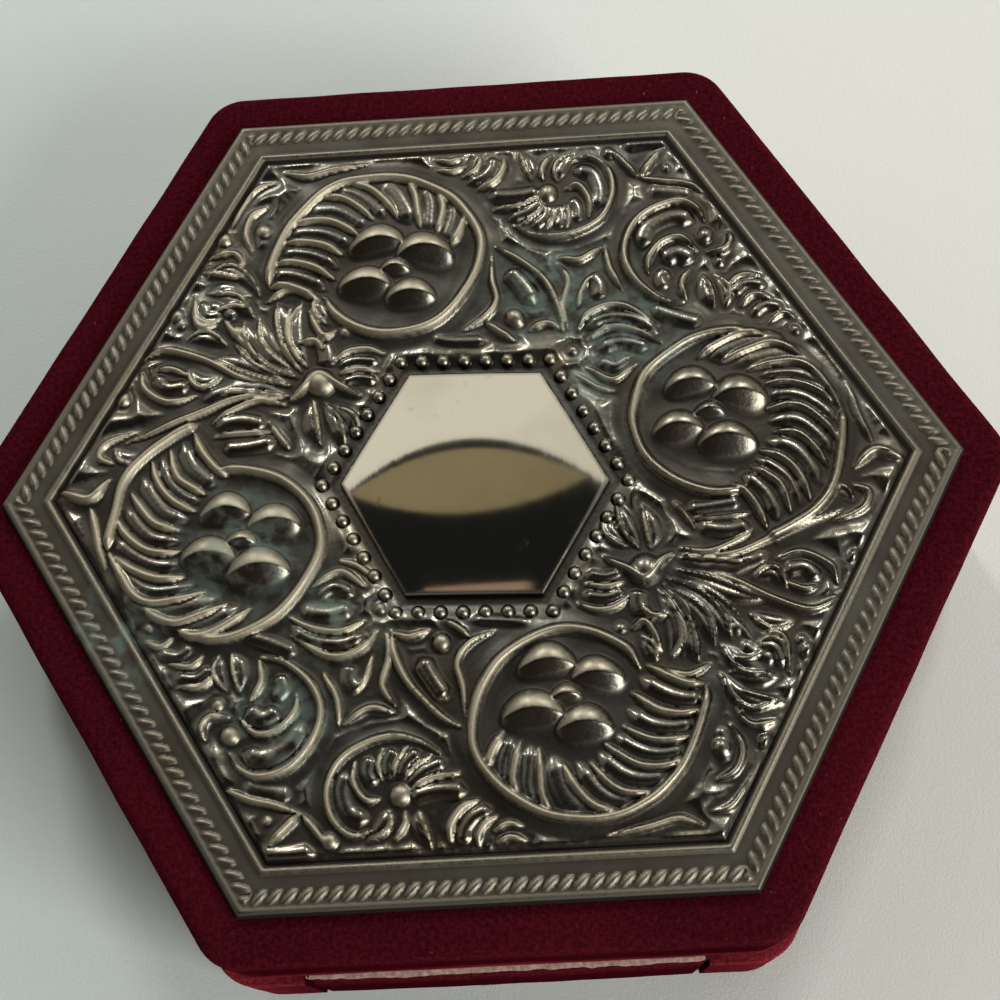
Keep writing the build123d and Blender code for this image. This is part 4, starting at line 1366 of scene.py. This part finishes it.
BUD = [
    ("ridge", 0.5, 1.8, [(2.6, 34.5), (6, 32.2), (9.5, 28.3), (11.5, 24), (11.9, 20.8)]),
    ("ridge", 0.5, 1.6, [(2.3, 33.5), (2.3, 29), (3, 25.5), (1.3, 23), (-2, 21.4)]),
    ("ridge", 0.45, 1.5, [(1.3, 22.3), (3, 20.8), (5, 19.4)]),
    ("ridge", 0.45, 1.4, [(6.8, 20.9), (9.5, 21.9), (11.8, 21.1)]),
    ("finger", 1.7, 1.7, [(4.6, 30.4), (6.4, 27.8), (8.2, 24.8)]),
    ("ridge", 0.5, 1.5, [(11.8, 31.6), (15, 30.9), (18.3, 33)]),
    ("ridge", 0.5, 1.5, [(18.8, 33.2), (19.2, 29.5), (20.9, 25.8)]),
    ("ridge", 0.5, 1.4, [(11.6, 30.8), (13, 28), (12.2, 24.5), (12.6, 21)]),
    ("finger", 1.5, 1.2, [(16.2, 28.6), (17.4, 27), (17.2, 24.8)]),
    ("ridge", 0.45, 1.3, [(14.2, 23.8), (15, 26.4), (16.6, 28.8)]),
    ("finger", 1.1, 0.9, [(-7, 20.8), (-3, 19.9), (1.4, 19.5)]),
]
ARCHED_LEAF = [
    ("ridge", 0.55, 1.7, [(13.9, 20.6), (16, 23), (20, 23.6), (25.6, 20.2)]),
    ("finger", 1.2, 1.4, [(15.2, 20.9), (18.4, 22), (22.4, 21.2), (25.4, 19.2)]),
    ("ridge", 0.5, 1.6, [(15.4, 19), (18.4, 20.4), (22.2, 19.6), (26, 17.6)]),
    ("finger", 1.4, 1.2, [(16.8, 17.4), (20.2, 18), (24, 17)]),
    ("ridge", 0.5, 1.5, [(15, 14.6), (18.6, 12.2), (22.6, 14.6)]),
    ("finger", 1.1, 1.1, [(16.6, 15.6), (19.2, 14.4), (21.6, 15.8)]),
    ("ridge", 0.45, 1.1, [(13.2, 13.8), (16, 11.4), (19, 10.4)]),
    ("finger", 1.4, 1.3, [(24.3, 23), (28, 21.6), (31.8, 20.2)]),
]
LOOSE_BEADS = [
    (48.8, -15, 1.2), (41.5, -27.3, 1.3), (34.7, -39, 1.3), (29, -39.7, 1.4), (32.4, -24, 1.3),
    (17, -23, 1.2), (33, 33.8, 1.5), (20.4, 47.8, 1.3), (5.3, 22.7, 1.5), (11, 42.3, 1.7),
    (-36, 35.8, 1.0), (44.3, 18.4, 0.9), (34.8, 29.6, 1.0), (45.6, -4.4, 1.0), (-42.3, 25, 1.0),
    (13.2, 17.6, 0.9), (28.4, 45, 0.9), (-33.4, 33.6, 0.8),
]
KNOT_BEAD, KNOT_BEAD_RADIUS, KNOT_BEAD_HEIGHT = (-22.3, 14.4), 2.4, 2.3
MOTIFS = KNOT + SIDE_SPRAY + STEM + END_CORNER + SMALL_SCROLL
MOTIFS += LOWER_SCROLL + TOP_CORNER + BUD + ARCHED_LEAF


def placed(points, way):
    return (np.array(points) + PATTERN_SHIFT) * way


for way in (1, -1):
    for kind, width, height, points in MOTIFS:
        getattr(relief, kind)(curve_through(placed(points, way)), width, height)
    for x, y, radius in LOOSE_BEADS:
        relief.bead(placed((x, y), way), radius, radius)
    relief.bead(placed(KNOT_BEAD, way), KNOT_BEAD_RADIUS, KNOT_BEAD_HEIGHT)
print("strokes laid:", 2 * len(MOTIFS), "highest", round(relief.height.max(), 2), "mm")

# %% [markdown]
# ## The ground between the strokes
# Pressed metal has no flat ground: it swells between the lines. So every bare point rises with its
# distance from the nearest stroke, which leaves a groove along each stroke and a pillow beyond it. The
# distances come from a tree of the raised points. Then the whole field rises where its strokes are dense.

# %% Fill the ground
BARE = 0.4
GROOVE, PILLOW_HEIGHT, PILLOW_RISE = 0.3, 1.15, 1.1
SWELL_ROUNDS, SWELL_SHARE = 60, 0.75
GROUND_WAVE_SIZE, GROUND_WAVE_HEIGHT = 3.4, 0.16


def fill_ground():
    ground = np.nonzero(relief.height <= BARE)[0]
    standing = np.nonzero(relief.height > BARE)[0]
    tree = KDTree(len(standing))
    for place in standing:
        tree.insert(Vector(relief.points[place]).to_3d(), int(place))
    tree.balance()
    gap = np.array([tree.find(Vector(spot).to_3d())[2] for spot in relief.points[ground]])
    pillow = PILLOW_HEIGHT * (1 - np.exp(-np.clip(gap - GROOVE, 0, None) / PILLOW_RISE))
    relief.lift(ground, pillow, 0.0)
    swell = field.averaged(relief.height, SWELL_ROUNDS) * SWELL_SHARE
    swell += unevenness(field.flat, GROUND_WAVE_SIZE, GROUND_WAVE_HEIGHT, 5)
    relief.lift(np.arange(len(swell)), swell, 0.0)
    return len(ground)


print("bare points filled:", fill_ground())

# %% [markdown]
# ## The border of the plaque
# A frame runs round the field: a thin ridge next to the ornament, a plain band, a row of slanted strands
# like a rope, and a narrow lip that turns down to the velvet. On a straight border each of these is only
# a height that depends on two things, how far out a point lies and how far along its side.

# %% Heights of the border
PLATE_BACK = plaque_low.z
FIELD_GROUND = plaque_low.z + 1.25
BORDER_PLANE = plaque_low.z + 1.45
FILLET_AT, FILLET_WIDTH, FILLET_HEIGHT = 51.7, 0.55, 0.4
ROPE_AT, ROPE_PITCH, ROPE_SLANT, ROPE_HEIGHT = 55.0, 1.95, 0.75, 0.4
ROPE_SIZE = (0.74, 1.05)
LIP_AT, LIP_WIDTH, LIP_HEIGHT = 56.7, 0.5, 0.14
LIP_FALL, LIP_STEEP = 0.75, 0.98


def along_side(points):
    """How far along its own side of the hexagon each point lies, from the middle of the side."""
    angles = SIDE_ANGLES[side_distances(points).argmax(axis=1)]
    return points[:, 1] * np.cos(angles) - points[:, 0] * np.sin(angles)


def dome(distance_squared, height):
    return height * np.sqrt(np.clip(1 - distance_squared, 0, 1))


def in_cell(length, pitch):
    """The distance from the middle of the nearest repeat."""
    return length - (np.floor(length / pitch) + 0.5) * pitch


def border_heights(points):
    out = apothem_of(points)
    fillet = dome(((out - FILLET_AT) / FILLET_WIDTH) ** 2, FILLET_HEIGHT)
    lean = in_cell(along_side(points) + ROPE_SLANT * (out - ROPE_AT), ROPE_PITCH)
    rope = dome((lean / ROPE_SIZE[0]) ** 2 + ((out - ROPE_AT) / ROPE_SIZE[1]) ** 2, ROPE_HEIGHT)
    lip = dome(((out - LIP_AT) / LIP_WIDTH) ** 2, LIP_HEIGHT)
    fall = ramp(out, LIP_AT, plaque_high.y)
    plane = BORDER_PLANE - LIP_FALL * (1 - np.sqrt(1 - fall**2 * LIP_STEEP))
    plane = plane - (BORDER_PLANE - FIELD_GROUND) * ramp(out, FILLET_AT, border.inner)
    return plane + np.maximum.reduce([fillet, rope, lip])


border_top = border_heights(border.flat)
print("border stands", round(border_top.max() - BORDER_PLANE, 2), "mm over its plane")

# %% [markdown]
# ## Old silver
# Tarnish settles where a cloth can't reach and is rubbed off where it can. So each point of the plaque
# remembers how far it stands over its surroundings: the height minus the same height smoothed. Worn
# crests are pale, hollows nearly black, and a few places keep a green-blue bloom. The far side of each
# petal's crest is painted pale too, a painted highlight, and the pale marks of the field grow weaker
# towards the right. The metal stays glossy on the rounded bodies, which is where the small bright
# reflections come from. The border is duller.

# %% Silver finishes
SILVER_BODY = colour(98, 98, 92)
SILVER_PALE = colour(156, 151, 134)
SILVER_WARM = colour(98, 90, 78)
SILVER_DULL = colour(92, 89, 80)
TARNISH = colour(30, 28, 25)
BLOOM = colour(104, 128, 120)
POLISH_CLEAN = colour(240, 236, 224)
POLISH_CLOUDED = colour(150, 140, 118)
SILVER_DEPTH, SCRATCH_DEPTH = 0.00005, 0.000004


def old_silver():
    silver = new_finish("old_silver")
    stands = silver.painted("stands_over")
    dull = silver.painted("dull")
    stain = silver.grain(90, detail=4)
    fine = silver.grain(1400, detail=3)
    # Pale metal is wear on the raised lines and beads, and a painted highlight on the far side of each
    # petal.
    worn_and_lit = (silver.painted("wear_and_light") + (fine - 0.5) * 0.3 + (stain - 0.5) * 0.4).clipped(0.3, 0.9)
    hollow = (0 - stands + (stain - 0.5) * 0.3).clipped(0.02, 0.5)
    bloom = silver.painted("bloom") * silver.grain(420, detail=4).clipped(0.42, 0.66) * 0.6
    body = silver.mix(stain.clipped(0.4, 0.7) * 0.55, SILVER_BODY, SILVER_WARM)
    wear_and_light = silver.mix(worn_and_lit * 0.85, body, SILVER_PALE)
    calm = silver.mix(dull * 0.55, wear_and_light, SILVER_DULL)
    dark = silver.mix(hollow * 0.8, calm, TARNISH)
    shade = silver.mix(bloom * 0.75, dark, BLOOM)
    matt = dull * (0.26 - stands.clipped(0.1, 0.7) * 0.2)
    rough = 0.22 + hollow * 0.25 + fine * 0.08 + bloom * 0.3 + worn_and_lit * 0.28 + matt
    heights = silver.bump(fine * 0.7 + stain * 0.3, SILVER_DEPTH)
    return silver.surface(Base_Color=shade, Metallic=1 - bloom * 0.6, Roughness=rough, Normal=heights)


def polished_silver():
    polish = new_finish("polished_silver")
    scratches = polish.grain(500, detail=4, stretch=(1, 0.05, 1))
    spots = polish.grain(260, detail=5, rough=0.65).clipped(0.6, 0.78)
    clouds = polish.grain(60, detail=3).clipped(0.4, 0.75)
    rim = polish.painted("rim")
    clean = polish.mix(spots * 0.5 + clouds * 0.25, POLISH_CLEAN, POLISH_CLOUDED)
    shade = polish.mix(rim, clean, TARNISH)
    rough = 0.025 + spots * 0.14 + scratches * 0.03 + clouds * 0.02 + rim * 0.3
    heights = polish.bump(scratches, SCRATCH_DEPTH)
    return polish.surface(Base_Color=shade, Metallic=1.0, Roughness=rough, Normal=heights)


OLD_SILVER = old_silver()
POLISHED = polished_silver()
print("silver finishes:", OLD_SILVER.name, POLISHED.name)

# %% [markdown]
# ## The parts of the plaque
# Now the heights become bodies. The field takes the strokes, eased to nothing along both of its rims, so
# that it meets the border without a step and leaves bare ground for the beads. The mirror stands on that
# ground, turned a little out of line, with a dark rim. It is polished and slightly domed, which is why it
# shows a bent picture of the room.

# %% Build field, border and mirror
PLAQUE_NODES = ["plaque", "plaque_packing"]
RELIEF_SHARP = math.radians(75)
CENTRE_SHIFT = np.array([-0.6, -1.0])
CENTRE_TURN = math.radians(-2.5)
CENTRE_AXES = np.array([heading(CENTRE_TURN), heading(CENTRE_TURN + HALF_TURN / 2)])
BEAD_MARGIN = (1.2, 3.4)
BORDER_MARGIN = 0.9
SMOOTH_ROUNDS = 45
FIELD_STANDS, BORDER_STANDS = 0.55, 0.3
LIP_DULL = 0.4
BORDER_RUBBED, ROPE_RUBBED = 0.3, 0.3
RUB_FROM, RUB_SPAN = 0.1, 0.5
PALENESS_AT_MIDDLE, PALENESS_SLOPE, LEAST_PALENESS = 0.84, 0.007, 0.55
BLOOM_SPOTS = [
    (-33, -9, 8), (13, 27, 8), (21, 20, 8), (-20, -19, 6), (-28, -33, 7), (-50, -20, 7), (18, 14, 6),
]


def set_askew(points):
    """Points of the mirror or its beads where they really sit, turned and shifted a little."""
    return points @ CENTRE_AXES + CENTRE_SHIFT


def eased(points):
    """1 over the field and 0 along its rims. It is slow towards the mirror, where the beads lie."""
    past_mirror = apothem_of((points - CENTRE_SHIFT) @ CENTRE_AXES.T) - MIRROR_APOTHEM
    outer = ramp(apothem_of(points), border.inner, border.inner - BORDER_MARGIN)
    return outer * ramp(past_mirror, *BEAD_MARGIN)


def bloom_at(points):
    share = np.zeros(len(points))
    for x, y, size in BLOOM_SPOTS:
        share = np.maximum(share, np.exp(-((points - (x, y)) ** 2).sum(axis=1) / size**2))
    return share


def silver_part(name, lattice, heights, wear_and_light, stands_scale, dull):
    points, faces = lattice.body(heights, PLATE_BACK)
    piece = make_piece(name, points, faces, OLD_SILVER, "lid", PLAQUE_NODES, RELIEF_SHARP)
    stands = (heights - lattice.averaged(heights, SMOOTH_ROUNDS)) / stands_scale
    layers = {"stands_over": stands, "wear_and_light": wear_and_light, "bloom": bloom_at(lattice.flat), "dull": dull}
    for layer, values in layers.items():
        paint(piece, layer, np.concatenate([values, np.zeros(len(points) - len(heights))]))


scale = min(1.0, (plaque_high.z - FIELD_GROUND) / relief.height.max())
field_top = FIELD_GROUND + relief.height * eased(field.flat) * scale
print("relief is scaled by", round(scale, 3))
# The pale marks of the field grow weaker towards the right of the plaque.
paleness_across = np.clip(PALENESS_AT_MIDDLE - field.flat[:, 0] * PALENESS_SLOPE, LEAST_PALENESS, 1)
no_dullness = np.zeros(len(field.flat))
silver_part("plaque_field", field, field_top, relief.wear_and_light * paleness_across, FIELD_STANDS, no_dullness)
raised = (border_top - BORDER_PLANE - RUB_FROM) / RUB_SPAN
border_rubbed = BORDER_RUBBED + np.clip(raised, 0, ROPE_RUBBED)
border_dull = 1 + LIP_DULL * np.clip(apothem_of(border.flat) - ROPE_AT, 0, 1)
silver_part("plaque_border", border, border_top, border_rubbed, BORDER_STANDS, border_dull)
MIRROR_RISE, MIRROR_RADIUS = 3.2, 230.0
MIRROR_EDGE, MIRROR_BEVEL, MIRROR_RIM = 0.2, 0.25, 0.6


def mirror_heights(points):
    far = (set_askew(points) ** 2).sum(axis=1)
    bevel = ramp(apothem_of(points), mirror.outer - MIRROR_EDGE, mirror.outer)
    return plaque_low.z + MIRROR_RISE - far / (2 * MIRROR_RADIUS) - MIRROR_BEVEL * bevel**2


points, faces = mirror.body(mirror_heights(mirror.flat), FIELD_GROUND)
points[:, :2] = set_askew(points[:, :2])
plaque_mirror = make_piece("plaque_mirror", points, faces, POLISHED, "lid", PLAQUE_NODES)
rim_share = ramp(apothem_of(mirror.flat), mirror.outer - MIRROR_RIM, mirror.outer)
paint(plaque_mirror, "rim", np.concatenate([rim_share, np.ones(len(points) - len(rim_share))]))
print("plaque triangles:", len(field.triangles()), len(border.triangles()), len(mirror.triangles()))

# %% [markdown]
# ## Beads round the mirror
# The beads are the same half ball again and again, so one is made as rings of points that shrink towards
# its top, and the rest are that one at other places. They sink a little into the ground, so that no gap
# shows under them, and they follow the mirror where it is out of line.

# %% A row of beads
BEAD_RADIUS = 1.12
BEADS_PER_SIDE = 7
BEAD_ROW = MIRROR_APOTHEM + 2.2
BEAD_TURNS, BEAD_LEVELS = 16, 7
BEAD_BOTTOM = FIELD_GROUND - 0.15
BEAD_TALL = BEAD_RADIUS * 1.25
BEAD_EVEN, BEAD_STANDS = 0.35, (-0.4, 0.6)
BEAD_RUB_FROM, BEAD_RUBBED = 0.4, 0.6


def one_bead():
    """Points and faces of a bead at the middle, from its rim up to its top."""
    points = []
    faces = []
    top = BEAD_LEVELS * BEAD_TURNS
    for level in range(BEAD_LEVELS):
        up = level / BEAD_LEVELS * HALF_TURN / 2
        for turn in range(BEAD_TURNS):
            x, y = BEAD_RADIUS * math.cos(up) * heading(2 * HALF_TURN * turn / BEAD_TURNS)
            points.append((x, y, BEAD_BOTTOM + BEAD_TALL * math.sin(up)))
            here = level * BEAD_TURNS + turn
            after = level * BEAD_TURNS + (turn + 1) % BEAD_TURNS
            if level < BEAD_LEVELS - 1:
                faces.append((here, after, after + BEAD_TURNS, here + BEAD_TURNS))
            else:
                faces.append((here, after, top))
    points.append((0, 0, BEAD_BOTTOM + BEAD_TALL))
    faces.append(tuple(reversed(range(BEAD_TURNS))))
    return np.array(points), faces


def bead_row():
    bead, bead_faces = one_bead()
    corners = hexagon_corners(BEAD_ROW)
    blocks = []
    faces = []
    for side in range(SIDES):
        for number in range(BEADS_PER_SIDE):
            x, y = set_askew(between(corners[side], corners[side + 1], number / BEADS_PER_SIDE))
            first = len(blocks) * len(bead)
            faces += [tuple(first + corner for corner in face) for face in bead_faces]
            blocks.append(bead + (x, y, 0))
    points = np.vstack(blocks)
    piece = make_piece("plaque_beads", points, faces, OLD_SILVER, "lid", ["plaque"])
    raised = (points[:, 2] - FIELD_GROUND) / BEAD_RADIUS
    paint(piece, "stands_over", np.clip(raised - BEAD_EVEN, *BEAD_STANDS))
    paint(piece, "wear_and_light", np.clip(raised - BEAD_RUB_FROM, 0, BEAD_RUBBED))
    for layer in ("bloom", "dull"):
        paint(piece, layer, np.zeros(len(points)))
    return len(blocks)


print("beads round the mirror:", bead_row())

# %% [markdown]
# ## Floor and light
# The floor is a pale sheet with painted shade: cooler and a little darker on its left half, away from
# the lamp at the right. The room is drawn in the world's background: pale walls behind and low down on
# every side, a tan board and a small ledge overhead, and a dark shape in front of the box. The mirror
# shows the edges of these as bent lines, and rounded metal is bright on its far side and dark on its
# near side. Two small soft lamps at the back give the sharp glints, and a large one at the right of
# the front lights the side that faces the camera.

# %% Stage, world and lamps
FLOOR_SIZE = 3000.0
FLOOR_SHADED_LEFT = colour(190, 203, 206)
FLOOR_LIT_RIGHT = colour(200, 204, 202)
FLOOR_THREAD = colour(150, 148, 142)
FLOOR_BLEND = 0.09
FLOOR_DEPTH = 0.0001


def make_floor():
    half = FLOOR_SIZE / 2
    corners = [(-half, -half, 0), (half, -half, 0), (half, half, 0), (-half, half, 0)]
    floor = add_object("floor", new_mesh("floor", corners, [(0, 1, 2, 3)]))
    cloth = new_finish("floor_cloth")
    # Painted shade: the floor is cooler and a little darker to the left of the middle, brighter to the
    # right.
    across = cloth.split(cloth.place())[0].clipped(-FLOOR_BLEND, FLOOR_BLEND)
    weave = cloth.grain(1800, detail=2) * 0.5 + cloth.grain(5200, detail=1) * 0.5
    lit_and_shaded = cloth.mix(across, FLOOR_SHADED_LEFT, FLOOR_LIT_RIGHT)
    shade = cloth.mix(weave * 0.22, lit_and_shaded, FLOOR_THREAD)
    heights = cloth.bump(weave, FLOOR_DEPTH)
    floor.data.materials.append(cloth.surface(Base_Color=shade, Roughness=0.9, Normal=heights))


WORLD_LEVEL = 0.72
ROOM_TURN = 0.065
LEAST_UP = 0.04
CRISP, SOFT = 0.003, 0.01
WALL = colour(248, 242, 226)
WALL_EDGE, WALL_BEND, WALL_FADE = 0.436, 1.72, (-0.3, 0.1)
SHADOW = colour(30, 31, 31)
TAN = colour(152, 138, 106)
TAN_HIGH, TAN_HIGH_BEND = 0.4174, 1.43
TAN_LOW, TAN_LOW_BEND = 0.2776, 1.29
LEDGE = colour(168, 140, 120)
LEDGE_AHEAD = (0.09, 0.148)
LEDGE_ASIDE, LEDGE_ENDS = (-0.085, 0.12), (0.004, 0.03)
FRONT = colour(92, 78, 66)
FRONT_AHEAD, FRONT_FADE = -0.25, 0.5
HORIZON, HORIZON_SHARE = (0.1, 0.42), 0.5


def make_world():
    world = bpy.data.worlds.new("room")
    bpy.context.scene.world = world
    room = Finish(world)
    x, y, z = room.split(room.node("ShaderNodeTexCoord"))
    up = z.maths("MAXIMUM", z, LEAST_UP)
    ahead = y / up
    aside = x / up + ROOM_TURN
    bend = aside * aside
    wall = (ahead + bend * WALL_BEND).clipped(WALL_EDGE, WALL_EDGE + CRISP) * ahead.clipped(*WALL_FADE)
    under = (TAN_HIGH - ahead - bend * TAN_HIGH_BEND).clipped(0, CRISP)
    board = under * (ahead - bend * TAN_LOW_BEND - TAN_LOW).clipped(0, SOFT)
    near, far = LEDGE_AHEAD
    left, right = LEDGE_ASIDE
    ledge = ahead.clipped(near, near + SOFT) * (far - ahead).clipped(0, CRISP)
    ledge = ledge * (aside - left).clipped(0, LEDGE_ENDS[0]) * (right - aside).clipped(0, LEDGE_ENDS[1])
    overhead = room.mix(ledge, room.mix(board, SHADOW, TAN), LEDGE)
    inner = room.mix((FRONT_AHEAD - ahead).clipped(0, FRONT_FADE), overhead, FRONT)
    shown = room.mix(wall, inner, WALL)
    shown = room.mix(HORIZON_SHARE - z.clipped(*HORIZON) * HORIZON_SHARE, shown, WALL)
    background = world.node_tree.nodes["Background"]
    room.plug(background.inputs["Color"], shown)
    background.inputs["Strength"].default_value = WORLD_LEVEL


LAMP_COLOUR = (1.0, 0.96, 0.9)
LAMPS = [
    ("far_lamp_left", (-160, 460, 460), 80, 1.3),
    ("far_lamp_right", (220, 400, 500), 80, 1.3),
    ("front_fill", (1150, -950, 850), 900, 32.0),
]


def make_lamp(name, place, size, watts):
    data = bpy.data.lights.new(name, "AREA")
    data.size = size * MM
    data.energy = watts
    data.color = LAMP_COLOUR
    lamp = add_object(name, data)
    lamp.location = Vector(place) * MM
    lamp.rotation_euler = (-Vector(place)).to_track_quat("-Z", "Y").to_euler()


make_floor()
make_world()
for lamp in LAMPS:
    make_lamp(*lamp)
bpy.context.scene.view_settings.view_transform = "Standard"
print("lamps:", len(LAMPS))
